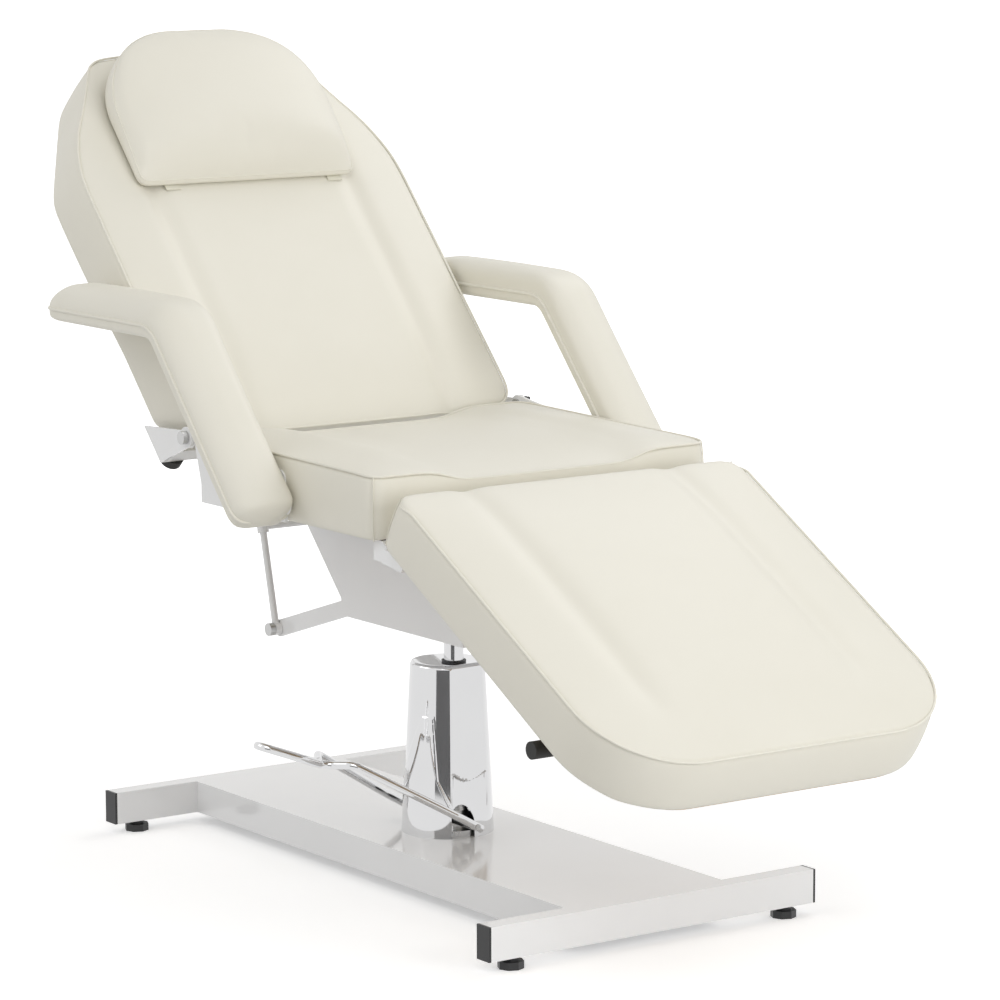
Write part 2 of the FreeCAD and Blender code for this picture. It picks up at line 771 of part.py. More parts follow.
def make_hinges():
    """Hinge plates on the seat, their bolts, the back hinge bolts, the knob and the arm pivots."""
    nodes = {}
    x0 = hinge_plate_x
    x1 = x0 + plate_gauge
    pivot_y, pivot_z = arm_pivot()
    low = seat_low
    body = plate([
        (rail_rear, low),
        (rail_rear, seat_low + seat_top - hinge_z + tail_width),
        (hinge_y - hinge_lobe, hinge_z),
        (hinge_y, hinge_z + hinge_lobe),
        (pivot_y, pivot_z + hinge_lobe),
        (pivot_y - hinge_lobe, pivot_z),
        (pivot_y - hinge_lobe, low),
    ], x0, x1)
    body = body.fuse([
        disc(hinge_y, hinge_z, hinge_lobe, x0, x1),
        disc(pivot_y, pivot_z, hinge_lobe, x0, x1)])
    body = body.cut(disc(hinge_y, hinge_z, hinge_bolt_radius + run_fit, x0, x1))
    body = body.cut(disc(pivot_y, pivot_z, arm_pin_radius + run_fit, x0, x1))
    nodes["seat_hinge_plates"] = pair(body)
    board_edge = seat_half - board_inset
    bolts = [disc(y, z, plate_bolt_radius, board_edge, x0) for y, z in plate_bolt_places()]
    nodes["plate_bolts"] = Part.makeCompound(bolts + [mirrored(bolt) for bolt in bolts])
    ear_end = ear_x + plate_gauge
    inner_head = disc(hinge_y, hinge_z, nut_flat_radius, x0 - cheek_thickness, x0)
    shank = disc(hinge_y, hinge_z, hinge_bolt_radius, x0, ear_end + side_gap + nut_thickness)
    nut = disc(hinge_y, hinge_z, nut_flat_radius, ear_end + side_gap, ear_end + side_gap + nut_thickness)
    left_bolt = mirrored(inner_head.fuse([shank, nut]))
    nodes["back_hinge_bolts"] = Part.makeCompound([left_bolt, inner_head.fuse(shank)])
    knob_x = ear_end + side_gap
    knob = disc(hinge_y, hinge_z, knob_radius, knob_x, knob_x + knob_depth)
    for k in range(knob_grips):
        y, z = point_at(hinge_y, hinge_z, 360 * k / knob_grips, knob_radius)
        knob = knob.cut(disc(y, z, knob_grip_radius, knob_x, knob_x + knob_depth))
    nodes["hinge_knob"] = knob.cut(disc(
        hinge_y, hinge_z, hinge_bolt_radius + run_fit, knob_x, knob_x + nut_thickness + soft_gap))
    pin_end = arm_pad_x + soft_gap
    pin = disc(pivot_y, pivot_z, arm_pin_radius, x0, pin_end + arm_pin_head_thickness)
    head = disc(pivot_y, pivot_z, arm_pin_head, pin_end, pin_end + arm_pin_head_thickness)
    spacer = disc(pivot_y, pivot_z, arm_pin_head, x1, arm_plate_x - soft_gap)
    nodes["armrest_pivot_pins"] = pair(pin.fuse([head, spacer]))
    return nodes


def make_back():
    """Board, cushion, battens, frame, ears, bumpers, stay cheeks and armrest guide pins."""
    nodes = {}
    board_top = back_low + board_thickness
    batten_x = back_half - batten_inset
    batten = box(
        batten_x - batten_width, batten_x, batten_near, batten_far, board_top, back_face - batten_top_gap)
    guide = flat_guide()
    guide_end = arm_pad_x + soft_gap
    guide_pin = disc(guide[0], guide[1], guide_pin_radius, batten_x, guide_end)
    heel = plate([
        (back_near - crown_flat, back_low - crown),
        (back_heel, back_low - crown),
        (back_heel, back_low),
        (back_near, back_face - seam_drop),
        (back_near - crown_flat, back_face - seam_drop),
    ], -seat_half, seat_half)
    board = slab(back_plan, board_inset, back_low, board_top)
    nodes["back_board"] = back_pose(board.cut(box(
        -back_half, back_half, back_near, back_heel, back_low, board_top)))
    pad = cushion(back_plan, back_low, back_face - seam_drop, back_face)
    pad = pad.cut(heel)
    pad = pad.cut(slab(back_plan, board_inset - soft_gap, back_low, board_top + soft_gap))
    room = box(
        batten_x - batten_width - soft_gap, batten_x + soft_gap,
        batten_near - soft_gap, batten_far + soft_gap,
        board_top, back_face - batten_top_gap + soft_gap)
    passage = disc(guide[0], guide[1], guide_pin_radius + soft_gap, batten_x, seat_half)
    for side in (room, passage):
        pad = pad.cut(side)
        pad = pad.cut(mirrored(side))
    for x in (-back_channel_x, back_channel_x):
        pad = pad.cut(channel(x, back_near - crown, pillow_far - crown_flat, back_face))
    pad = pad.cut(dish(back_channel_x, back_dish, back_near - crown, pillow_near + pillow_draw, back_face))
    nodes["back_pad"] = back_pose(pad)
    nodes["back_battens"] = back_pose(pair(batten))
    nodes["armrest_guide_pins"] = back_pose(pair(guide_pin))
    tube_far = back_tube_y + back_tube
    nodes["back_cross_tube"] = back_pose(tube(
        -ear_x, ear_x, back_tube_y, tube_far, back_low, back_low + back_tube, ALONG_X))
    rail_end = back_rail_inner + back_rail_width
    rail = tube(
        back_rail_inner, rail_end, back_tube_y, back_rail_far,
        back_low - back_rail_width, back_low, ALONG_Y)
    nodes["back_rails"] = back_pose(pair(rail))
    ear_end = ear_x + plate_gauge
    ear = plate([
        (hinge_y - hinge_lobe, hinge_z),
        (back_tube_y, back_low),
        (back_heel, back_low),
        (hinge_y, hinge_z + hinge_lobe),
    ], ear_x, ear_end)
    ear = ear.fuse(disc(hinge_y, hinge_z, hinge_lobe, ear_x, ear_end))
    ear = ear.cut(disc(hinge_y, hinge_z, hinge_bolt_radius + run_fit, ear_x, ear_end))
    nodes["back_ears"] = back_pose(pair(ear))
    bumper = Part.makeCylinder(
        bumper_radius, bumper_height, V(bumper_x, back_tube_y + back_tube / 2, back_low - bumper_height))
    nodes["back_bumpers"] = back_pose(pair(bumper))
    eye_y, eye_z = flat_back_point(stay_top_y, stay_top_z)
    cheek_end = back_rail_inner
    start = cheek_end - cheek_thickness
    lobe = disc(eye_y, eye_z, stay_lobe, start, cheek_end)
    strip = box(start, cheek_end, eye_y - stay_lobe, eye_y + stay_lobe, eye_z, back_low)
    cheek = lobe.fuse(strip).cut(disc(eye_y, eye_z, stay_window, start, cheek_end))
    below = box(start, cheek_end, eye_y - 2 * stay_lobe, eye_y + 2 * stay_lobe, back_low, back_face)
    nodes["stay_cheeks"] = back_pose(pair(cheek.cut(below)))
    return nodes


def flat_back_point(y, z):
    """A rest-pose (y, z) point of the backrest, as it lies when the back is flat."""
    turn = math.radians(-back_angle)
    dy = y - hinge_y
    dz = z - hinge_z
    return (
        hinge_y + dy * math.cos(turn) - dz * math.sin(turn),
        hinge_z + dy * math.sin(turn) + dz * math.cos(turn))


def flat_guide():
    """The armrest guide pin's place when the back is flat."""
    return flat_back_point(guide_y, guide_z)


def make_pillow():
    """Head pillow with drawn-in sides, and the two elastic straps under its lower edge."""
    low = back_face + pillow_lift + strap_thickness + soft_gap
    top = low + pillow_thickness
    rings = [
        pillow_plan(pillow_draw, low),
        pillow_plan(0, low + pillow_thickness / 3),
        pillow_plan(pillow_draw, low + 2 * pillow_thickness / 3),
        pillow_plan(pillow_near_corner + 2 * pillow_draw, top),
    ]
    pillow = Part.makeLoft(rings, True)
    strap = box(
        strap_x - strap_width / 2, strap_x + strap_width / 2,
        pillow_near - strap_show, pillow_near + strap_length,
        low - strap_thickness, low)
    return {"head_pillow": back_pose(pillow), "pillow_straps": back_pose(pair(strap))}


def make_stays():
    """The stay rods on the bracket tails, and the sleeves with their cross bar and pins."""
    nodes = {}
    along = V(0, math.cos(stay_angle), math.sin(stay_angle))

    def at(distance):
        return V(stay_x, stay_y, stay_z) + along * distance
    eye = disc(stay_y, stay_z, stay_eye_radius, stay_x - stay_rod_radius, stay_x + stay_rod_radius)
    bar = rod(at(0), at(stay_rod_length), stay_rod_radius).fuse(eye)
    nodes["stay_rods"] = pair(bar.cut(disc(
        stay_y, stay_z, stay_bolt_radius + run_fit, stay_x - sleeve_radius, stay_x + sleeve_radius)))
    tube_end = stay_length - sleeve_head
    sleeve = rod(at(sleeve_start), at(tube_end), sleeve_radius)
    sleeve = sleeve.cut(rod(at(sleeve_start), at(tube_end), stay_rod_radius + run_fit))
    head = rod(at(tube_end), at(stay_length), sleeve_radius)
    pin = disc(
        stay_top_y, stay_top_z, stay_pin_radius, stay_x, back_rail_inner - soft_gap)
    half = sleeve.fuse([head, pin])
    place = at(sleeve_start + sleeve_radius)
    bar_end = stay_x - (stay_rod_radius + sleeve_radius) / 2
    cross = disc(place.y, place.z, stay_bar_radius, -bar_end, bar_end)
    nodes["stay_sleeves"] = half.fuse([mirrored(half), cross])
    return nodes


def make_leg():
    """Board, cushion, cross bar, rails, hinge lugs with pins and the spring's lug."""
    nodes = {}
    board_top = leg_low + board_thickness
    nodes["leg_board"] = leg_pose(slab(leg_plan, board_inset, leg_low, board_top))
    pad = cushion(leg_plan, leg_low, seat_top - seam_drop + crown / 2, seat_top + crown / 2)
    pad = pad.cut(slab(leg_plan, board_inset - soft_gap, leg_low, board_top + soft_gap))
    for x in (-leg_channel_x, leg_channel_x):
        pad = pad.cut(channel(x, leg_far + crown_flat, leg_near + crown, seat_top + crown / 2))
    nodes["leg_pad"] = leg_pose(pad)
    lug_start = lug_x + plate_gauge + side_gap
    bar_near = leg_near - leg_cross_near
    bar_far = bar_near - cross_width
    bar_low = leg_low - leg_rail_height
    nodes["leg_cross_bar"] = leg_pose(tube(
        -lug_start, lug_start, bar_far, bar_near, bar_low, leg_low, ALONG_X))
    nodes["leg_rails"] = leg_pose(pair(tube(
        leg_rail_inner, leg_rail_inner + leg_rail_width, bar_far - leg_rail_length, bar_far,
        bar_low, leg_low, ALONG_Y)))
    lug_end = lug_start + plate_gauge
    lug = plate([
        (bar_far, bar_low),
        (bar_far, leg_low),
        (bar_near, leg_low),
        (leg_hinge_y, leg_hinge_z + lug_radius),
        (leg_hinge_y, leg_hinge_z - lug_radius),
    ], lug_start, lug_end)
    lug = lug.fuse(disc(leg_hinge_y, leg_hinge_z, lug_radius, lug_start, lug_end))
    pin = disc(leg_hinge_y, leg_hinge_z, leg_pin_radius, lug_x - side_gap, lug_start)
    nodes["leg_hinge_arms"] = leg_pose(pair(lug.fuse(pin)))
    eye_y, eye_z = flat_spring_top()
    inner = spring_eye_width / 2 + side_gap
    outer = inner + cheek_thickness
    cheek = disc(eye_y, eye_z, spring_lug_lobe, inner, outer)
    cheek = cheek.fuse(box(inner, outer, eye_y - spring_lug_lobe, eye_y + spring_lug_lobe, eye_z, leg_low))
    cheek = cheek.cut(disc(eye_y, eye_z, spring_window, inner, outer))
    nodes["spring_lugs"] = leg_pose(pair(cheek))
    return nodes


def flat_spring_top():
    """The gas spring's upper pin on the flat leg rest, as a (y, z) place."""
    return (leg_near - spring_top_reach, leg_low - spring_top_drop)


def make_spring():
    """The leg rest's gas spring: cylinder on the bracket's cross pin, rod on the leg rest."""
    turn = math.radians(leg_angle)
    flat_y, flat_z = flat_spring_top()
    dy = flat_y - leg_hinge_y
    dz = flat_z - leg_hinge_z
    top = V(
        0,
        leg_hinge_y + dy * math.cos(turn) - dz * math.sin(turn),
        leg_hinge_z + dy * math.sin(turn) + dz * math.cos(turn))
    foot = V(0, spring_y, spring_z)
    along = top.sub(foot).normalize()
    half = spring_eye_width / 2
    barrel = rod(foot + along * spring_eye_radius, foot + along * spring_tube_length, spring_tube_radius)
    barrel = barrel.fuse(disc(spring_y, spring_z, spring_eye_radius + spring_pin_radius, -half, half))
    barrel = barrel.cut(disc(spring_y, spring_z, spring_pin_radius + run_fit, -half, half))
    deep = spring_eye_radius + 2 * spring_pin_radius
    bore = rod(foot + along * deep, foot + along * spring_tube_length, spring_rod_radius + run_fit)
    shank = rod(foot + along * (deep + spring_stroke), top, spring_rod_radius)
    eye = disc(top.y, top.z, spring_eye_radius, -half, half)
    pin_half = half + side_gap + cheek_thickness
    pin = disc(top.y, top.z, stay_pin_radius, -pin_half, pin_half)
    return {"spring_cylinder": barrel.cut(bore), "spring_rod": shank.fuse([eye, pin])}


def make_lever():
    """The leg rest's release lever with its pivot post and rubber grip."""
    y = leg_near - lever_reach
    z = leg_low - lever_drop
    half = lever_boss_height / 2
    bar = rod(V(lever_x, y, z), V(grip_end, y, z), lever_bar_radius)
    boss = Part.makeCylinder(lever_boss_radius, lever_boss_height, V(lever_x, y, z - half))
    hole = Part.makeCylinder(lever_pin_radius + run_fit, lever_boss_height, V(lever_x, y, z - half))
    grip = rod(V(grip_start, y, z), V(grip_end - lever_head, y, z), grip_radius)
    bore = rod(V(grip_start, y, z), V(grip_end - run_fit, y, z), lever_bar_radius + run_fit)
    post_low = z + half + soft_gap
    post = Part.makeCylinder(lever_post_radius, leg_low - post_low, V(lever_x, y, post_low))
    head_top = z - half - soft_gap
    pin = Part.makeCylinder(lever_pin_radius, post_low - head_top, V(lever_x, y, head_top))
    head = Part.makeCylinder(lever_post_radius, lever_head, V(lever_x, y, head_top - lever_head))
    return {
        "leg_lever": leg_pose(bar.fuse(boss).cut(hole)),
        "lever_grip": leg_pose(grip.cut(bore)),
        "lever_post": leg_pose(post.fuse([pin, head])),
    }


def limb_outline(over, under, x):
    """The armrest's bent side outline with round ends, over and under its middle line, at the width x."""
    low = V(x, arm_low_y, arm_low_z)
    bend = V(x, arm_bend_y, arm_level)
    rear = V(x, arm_rear_y, arm_level)
    lift = bend.sub(low).normalize()
    out = ALONG_X.cross(lift)
    turn = lift.getAngle(ALONG_Y)
    reach = arm_bend_radius * math.tan(turn / 2)
    start = bend - lift * reach
    end = bend + ALONG_Y * reach
    centre = start - out * arm_bend_radius
    toward = bend.sub(centre).normalize()
    half = (over - under) / 2
    low_end = low + out * (over - half)
    rear_end = rear + ALONG_Z * (over - half)
    diagonal = half * math.sqrt(0.5)
    edges = [
        line(low + out * over, start + out * over),
        arc(start + out * over, centre + toward * (arm_bend_radius + over), end + ALONG_Z * over),
        line(end + ALONG_Z * over, rear + ALONG_Z * over),
        arc(rear + ALONG_Z * over, rear_end + (ALONG_Z + ALONG_Y) * diagonal, rear_end + ALONG_Y * half),
        arc(rear_end + ALONG_Y * half, rear_end + (ALONG_Y - ALONG_Z) * diagonal, rear + ALONG_Z * under),
        line(rear + ALONG_Z * under, end + ALONG_Z * under),
        arc(end + ALONG_Z * under, centre + toward * (arm_bend_radius + under), start + out * under),
        line(start + out * under, low + out * under),
        arc(low + out * under, low_end - (out + lift) * diagonal, low_end - lift * half),
        arc(low_end - lift * half, low_end + (out - lift) * diagonal, low + out * over),
    ]
    return Part.Wire(edges)


def make_armrest():
    """The right armrest: cushion and carrying plate with its pivot hole and guide slot."""
    pivot_y, pivot_z = arm_pivot()
    x0 = arm_plate_x
    x1 = arm_pad_x
    far = x1 + arm_width
    pad = Part.makeLoft([
        limb_outline(arm_over - arm_inner_drop, arm_under + arm_edge_draw, x1),
        limb_outline(arm_over, arm_under, x1 + arm_width / 4),
        limb_outline(arm_over, arm_under, x1 + arm_width / 2),
        limb_outline(arm_over - arm_quarter_drop, arm_under, far - arm_width / 4),
        limb_outline(arm_over - arm_outer_drop, arm_under + arm_edge_draw, far),
    ], True)
    slope = math.degrees(math.atan2(guide_z - pivot_z, guide_y - pivot_y))
    inner = point_at(guide_y, guide_z, slope, -guide_slot_inward)
    outer = point_at(guide_y, guide_z, slope, guide_slot_outward)
    half_slot = guide_pin_radius + guide_play

    def slot(start, end):
        run = math.hypot(outer[0] - inner[0], outer[1] - inner[1])
        bar = box(start, end, inner[0], inner[0] + run, inner[1] - half_slot, inner[1] + half_slot)
        bar = turned(bar, inner[0], inner[1], slope)
        return bar.fuse([
            disc(inner[0], inner[1], half_slot, start, end),
            disc(outer[0], outer[1], half_slot, start, end)])
    sheet = Part.Face(limb_outline(arm_plate_over, arm_plate_under, x0)).extrude(V(plate_gauge, 0, 0))
    sheet = sheet.cut(disc(pivot_y, pivot_z, arm_pin_radius + run_fit, x0, x1))
    sheet = sheet.cut(slot(x0, x1))
    pocket = arm_pad_x + arm_pin_head_thickness + 4 * soft_gap
    pad = pad.cut(disc(pivot_y, pivot_z, arm_pin_head + 2 * soft_gap, x1, pocket))
    pad = pad.cut(slot(x1, arm_pad_x + 4 * soft_gap))
    return pad, sheet


def make_armrests():
    """Both armrests."""
    pad, sheet = make_armrest()
    return {
        "armrest_pad_right": pad,
        "armrest_pad_left": mirrored(pad),
        "armrest_plate_right": sheet,
        "armrest_plate_left": mirrored(sheet),
    }


nodes = {}
for make in (
    make_base, make_pump, make_pedal, make_column, make_seat_frame, make_seat, make_hinges, make_back,
    make_pillow, make_stays, make_leg, make_spring, make_lever, make_armrests,
):
    nodes.update(make())

os.makedirs("parts", exist_ok=True)
for name, shape in nodes.items():
    shape.exportStep("parts/%s.step" % name)
print(len(nodes), "nodes")
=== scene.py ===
"""Looks of the cream beauty chair: upholstery, finishes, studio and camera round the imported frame."""
import json
import logging
import math
from dataclasses import dataclass
from enum import Enum

import bpy
import numpy as np
from mathutils import Matrix, Vector


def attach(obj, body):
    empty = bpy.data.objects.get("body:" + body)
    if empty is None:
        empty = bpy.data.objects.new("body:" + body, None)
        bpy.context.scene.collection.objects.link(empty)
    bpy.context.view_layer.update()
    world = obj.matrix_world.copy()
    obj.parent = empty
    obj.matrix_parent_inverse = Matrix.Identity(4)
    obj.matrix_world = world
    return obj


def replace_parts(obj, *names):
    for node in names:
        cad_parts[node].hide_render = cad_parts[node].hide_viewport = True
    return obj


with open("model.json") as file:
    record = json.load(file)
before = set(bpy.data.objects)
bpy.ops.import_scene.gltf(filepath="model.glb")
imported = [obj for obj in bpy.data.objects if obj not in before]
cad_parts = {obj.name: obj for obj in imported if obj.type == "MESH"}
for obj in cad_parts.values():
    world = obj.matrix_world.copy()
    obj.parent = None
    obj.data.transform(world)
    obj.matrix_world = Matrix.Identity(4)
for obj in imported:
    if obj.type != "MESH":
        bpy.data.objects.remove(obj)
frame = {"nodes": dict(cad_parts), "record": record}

logging.basicConfig(level=logging.INFO, format="%(message)s")
LOG = logging.getLogger("chair")

Array = np.ndarray
Names = tuple[str, ...]
Pair = tuple[float, float]
Place = Colour = tuple[float, float, float]
Object = bpy.types.Object
Node = bpy.types.Node
Tree = bpy.types.NodeTree


class Finish(Enum):
    """The finishes of the chair, named as in the record's material slots."""

    LEATHERETTE = "leatherette"
    ELASTIC = "elastic"
    WHITE_PAINT = "white_paint"
    BOARD_WOOD = "board_wood"
    BLACK_PLASTIC = "black_plastic"
    BLACK_RUBBER = "black_rubber"
    CHROME = "chrome"
    STEEL = "steel"


@dataclass(frozen=True)
class Turn:
    """A turn about a line across the chair, which carries a flat piece to its rest pose."""

    y: float
    z: float
    degrees: float

    def apply(self, points: Array) -> Array:
        """Turn n x 3 points about the hinge, from lying flat to the rest pose.

        Args:
            points: places of the flat piece.

        Returns:
            The turned points.
        """
        angle = math.radians(self.degrees)
        c, s = math.cos(angle), math.sin(angle)
        out = points.copy()
        dy, dz = points[:, 1] - self.y, points[:, 2] - self.z
        out[:, 1] = self.y + c * dy - s * dz
        out[:, 2] = self.z + s * dy + c * dz
        return out


LEVEL = Turn(0.0, 0.0, 0.0)
BACK_TURN = Turn(0.235, 0.664, 47.2)
LEG_TURN = Turn(-0.2647, 0.5492, 29.4)
TUBE_GUIDE = np.array([0.31, 0.27, 0.91])
CRISP = 32
WHITE = (1.0, 1.0, 1.0, 1.0)
MIRROR = np.array([-1.0, 1.0])
SHOULDER_LINE = 0.725


# Mesh tools


def make_object(name: str, points: Array, faces: Array | list, smooth: bool = True) -> Object:
    """Put points and faces into a new mesh object.

    Args:
        name: the piece's name.
        points: n x 3 places in metres.
        faces: quads as an m x 4 array, or a list of longer faces.
        smooth: whether the faces shade smoothly.

    Returns:
        The new object, linked to the scene.
    """
    mesh = bpy.data.meshes.new(name)
    mesh.from_pydata(points.tolist(), [], faces.tolist() if isinstance(faces, np.ndarray) else faces)
    mesh.update()
    mesh.polygons.foreach_set("use_smooth", np.full(len(mesh.polygons), smooth))
    obj = bpy.data.objects.new(name, mesh)
    bpy.context.scene.collection.objects.link(obj)
    return obj


def grid_quads(rows: int, columns: int, wrap: bool = False) -> Array:
    """Quads of a grid stored row by row.

    Args:
        rows: number of rows of points.
        columns: number of points in a row.
        wrap: whether each row closes on itself.

    Returns:
        Quads as an m x 4 array of point numbers.
    """
    across = columns if wrap else columns - 1
    r, c = np.meshgrid(np.arange(rows - 1), np.arange(across), indexing="ij")
    n = (c + 1) % columns
    quads = np.stack([r * columns + c, r * columns + n, (r + 1) * columns + n, (r + 1) * columns + c], -1)
    return quads.reshape(-1, 4)


def arc_length(points: Array) -> Array:
    """Length along a polyline at each of its points, from 0."""
    return np.concatenate([[0.0], np.cumsum(np.linalg.norm(np.diff(points, axis=0), axis=1))])


def unit(rows: Array) -> Array:
    """Rows of an array scaled to length one."""
    return rows / np.linalg.norm(rows, axis=1, keepdims=True)


def resample(points: Array, count: int) -> Array:
    """A polyline's points at equal steps of arc length, ends included.

    Args:
        points: the polyline's corners.
        count: number of points wanted.

    Returns:
        The points.
    """
    reach = arc_length(points)
    want = np.linspace(0.0, reach[-1], count)
    return np.stack([np.interp(want, reach, points[:, k]) for k in range(points.shape[1])], -1)


def arc_points(centre: Pair, radius: float, first: float, last: float, count: int = 24) -> Array:
    """Points of an arc: centre plus radius times (cos a, sin a), a running from first to last degrees."""
    a = np.radians(np.linspace(first, last, count))
    return np.stack([centre[0] + radius * np.cos(a), centre[1] + radius * np.sin(a)], -1)


def tube_surface(path: Array, radius: float, sides: int, closed: bool) -> tuple[Array, Array]:
    """A round profile carried along a path: path point plus radius times (cos a N + sin a B).

    N and B are square to the path's tangent, worked out from one fixed reference direction.

    Args:
        path: n x 3 points.
        radius: the profile's radius.
        sides: points round the profile.
        closed: whether the path is a loop.

    Returns:
        The points and the quads.
    """
    if closed:
        tangent = np.roll(path, -1, axis=0) - np.roll(path, 1, axis=0)
    else:
        tangent = np.gradient(path, axis=0)
    tangent = unit(tangent)
    normal = unit(np.cross(tangent, np.broadcast_to(TUBE_GUIDE, tangent.shape)))
    binormal = np.cross(tangent, normal)
    a = np.linspace(0, 2 * np.pi, sides, endpoint=False)
    ring = np.cos(a)[None, :, None] * normal[:, None, :] + np.sin(a)[None, :, None] * binormal[:, None, :]
    points = (path[:, None, :] + radius * ring).reshape(-1, 3)
    return points, grid_quads(len(path) + closed, sides, wrap=True) % len(points)


def read_points(obj: Object) -> Array:
    """The mesh's points as an n x 3 array.

    Args:
        obj: the mesh object.

    Returns:
        The points.
    """
    flat = np.empty(len(obj.data.vertices) * 3, np.float32)
    obj.data.vertices.foreach_get("co", flat)
    return flat.reshape(-1, 3).astype(float)


def write_points(obj: Object, points: Array) -> None:
    """Put the points back into the mesh."""
    obj.data.vertices.foreach_set("co", points.astype(np.float32).ravel())
    obj.data.update()


def settle(obj: Object, modifier: bpy.types.Modifier) -> None:
    """Apply a modifier to the mesh for good.

    Args:
        obj: the mesh object.
        modifier: one of its modifiers.
    """
    graph = bpy.context.evaluated_depsgraph_get()
    mesh = bpy.data.meshes.new_from_object(obj.evaluated_get(graph))
    obj.modifiers.remove(modifier)
    old = obj.data
    obj.data = mesh
    bpy.data.meshes.remove(old)
    mesh.polygons.foreach_set("use_smooth", np.full(len(mesh.polygons), True))


def subdivide(obj: Object, levels: int) -> None:
    """Apply smooth subdivision to the mesh for good.

    Args:
        obj: the mesh object.
        levels: number of subdivisions.
    """
    modifier = obj.modifiers.new("Subdivision", "SUBSURF")
    modifier.levels = modifier.render_levels = levels
    settle(obj, modifier)


def inflate(obj: Object, sewn: Array, pressure: float, cap: float, frames: int = 20) -> None:
    """Swell a pad with a cloth simulation and keep the result.

    Points move by the simulated path, shortened to cap where it is longer.

    Args:
        obj: the pad's closed mesh.
        sewn: numbers of the points that a seam or a board holds still.
        pressure: the air pressure inside.
        cap: the farthest that a point may move, in metres.
        frames: the last frame of the simulation.
    """
    scene = bpy.context.scene
    start = read_points(obj)
    group = obj.vertex_groups.new(name="sewn")
    group.add([int(k) for k in sewn], 1.0, "REPLACE")
    modifier = obj.modifiers.new("Cloth", "CLOTH")
    cloth = modifier.settings
    cloth.quality = 4
    cloth.mass = 0.3
    cloth.tension_stiffness = cloth.compression_stiffness = 20.0
    cloth.shear_stiffness = 8.0
    cloth.bending_stiffness = 2.0
    cloth.vertex_group_mass = group.name
    cloth.use_pressure = True
    cloth.uniform_pressure_force = pressure
    cloth.effector_weights.gravity = 0.0
    modifier.collision_settings.use_collision = False
    modifier.point_cache.frame_start, modifier.point_cache.frame_end = 1, frames
    for number in range(1, frames + 1):
        scene.frame_set(number)
    graph = bpy.context.evaluated_depsgraph_get()
    swollen = read_points(obj.evaluated_get(graph))
    scene.frame_set(1)
    obj.modifiers.remove(modifier)
    obj.vertex_groups.remove(group)
    move = swollen - start
    length = np.linalg.norm(move, axis=1, keepdims=True)
    write_points(obj, start + move * np.minimum(1.0, cap / np.maximum(length, 1e-9)))


# Finishes


class NodeTools:
    """Small helpers for building node trees."""

    def __init__(self, tree: Tree) -> None:
        """Work on one node tree."""
        self.tree = tree

    def add(self, kind: str, **values: object) -> Node:
        """Add a node of one of Blender's types and set its values."""
        return self.put(self.tree.nodes.new(kind), **values)

    @staticmethod
    def put(node: Node, **values: object) -> Node:
        """Set a node's properties, or its inputs by socket name with underscores for spaces.

        Args:
            node: the node.
            values: what to set.

        Returns:
            The same node.
        """
        for key, value in values.items():
            socket = node.inputs.get(key.replace("_", " ")) if key[0].isupper() else None
            if socket is not None:
                socket.default_value = value
            else:
                setattr(node, key, value)
        return node

    def wire(self, *joins: tuple[Node, str | int, Node, str | int]) -> None:
        """Join sockets; each join names a node and its output, then a node and its input."""
        for source, out, target, inp in joins:
            self.tree.links.new(source.outputs[out], target.inputs[inp])

    def blend(self, dark: Colour, light: Colour, share: Node, out: str, shader: Node) -> None:
        """Colour a shader by a share of two colours, which are the Mix node's inputs 6 and 7 and output 2.

        Args:
            dark: the colour at share 0.
            light: the colour at share 1.
            share: the node that gives the share.
            out: that node's output.
            shader: the shader to colour.
        """
        tint = self.add("ShaderNodeMix", data_type="RGBA")
        tint.inputs[6].default_value = (*dark, 1.0)
        tint.inputs[7].default_value = (*light, 1.0)
        self.wire((share, out, tint, "Factor"), (tint, 2, shader, "Base Color"))

    def emboss(self, texture: Node, strength: float, depth: float, shader: Node) -> None:
        """Raise a shader's surface by a texture's height."""
        relief = self.add("ShaderNodeBump", Strength=strength, Distance=depth)
        self.wire((texture, "Height", relief, "Height"), (relief, 0, shader, "Normal"))


def start_material(name: str) -> tuple[bpy.types.Material, NodeTools, Node]:
    """A new material, its helper and its Principled shader.

    Args:
        name: the material's name.

    Returns:
        The material, the helper and the shader.
    """
    material = bpy.data.materials.new(name)
    material.use_nodes = True
    return material, NodeTools(material.node_tree), material.node_tree.nodes["Principled BSDF"]


def new_group(name: str, inputs: dict[str, float], outputs: Names) -> tuple[Tree, NodeTools, Node, Node]:
    """Start a shader node group with a vector, some floats and float outputs.

    Args:
        name: the group's name.
        inputs: names of the floats and their default values.
        outputs: names of the outputs.

    Returns:
        The group, its helper, its input node and its output node.
    """
    tree = bpy.data.node_groups.new(name, "ShaderNodeTree")
    tree.interface.new_socket("Vector", in_out="INPUT", socket_type="NodeSocketVector")
    for key, value in inputs.items():
        tree.interface.new_socket(key, in_out="INPUT", socket_type="NodeSocketFloat").default_value = value
    for key in outputs:
        tree.interface.new_socket(key, in_out="OUTPUT", socket_type="NodeSocketFloat")
    tool = NodeTools(tree)
    return tree, tool, tool.add("NodeGroupInput"), tool.add("NodeGroupOutput")


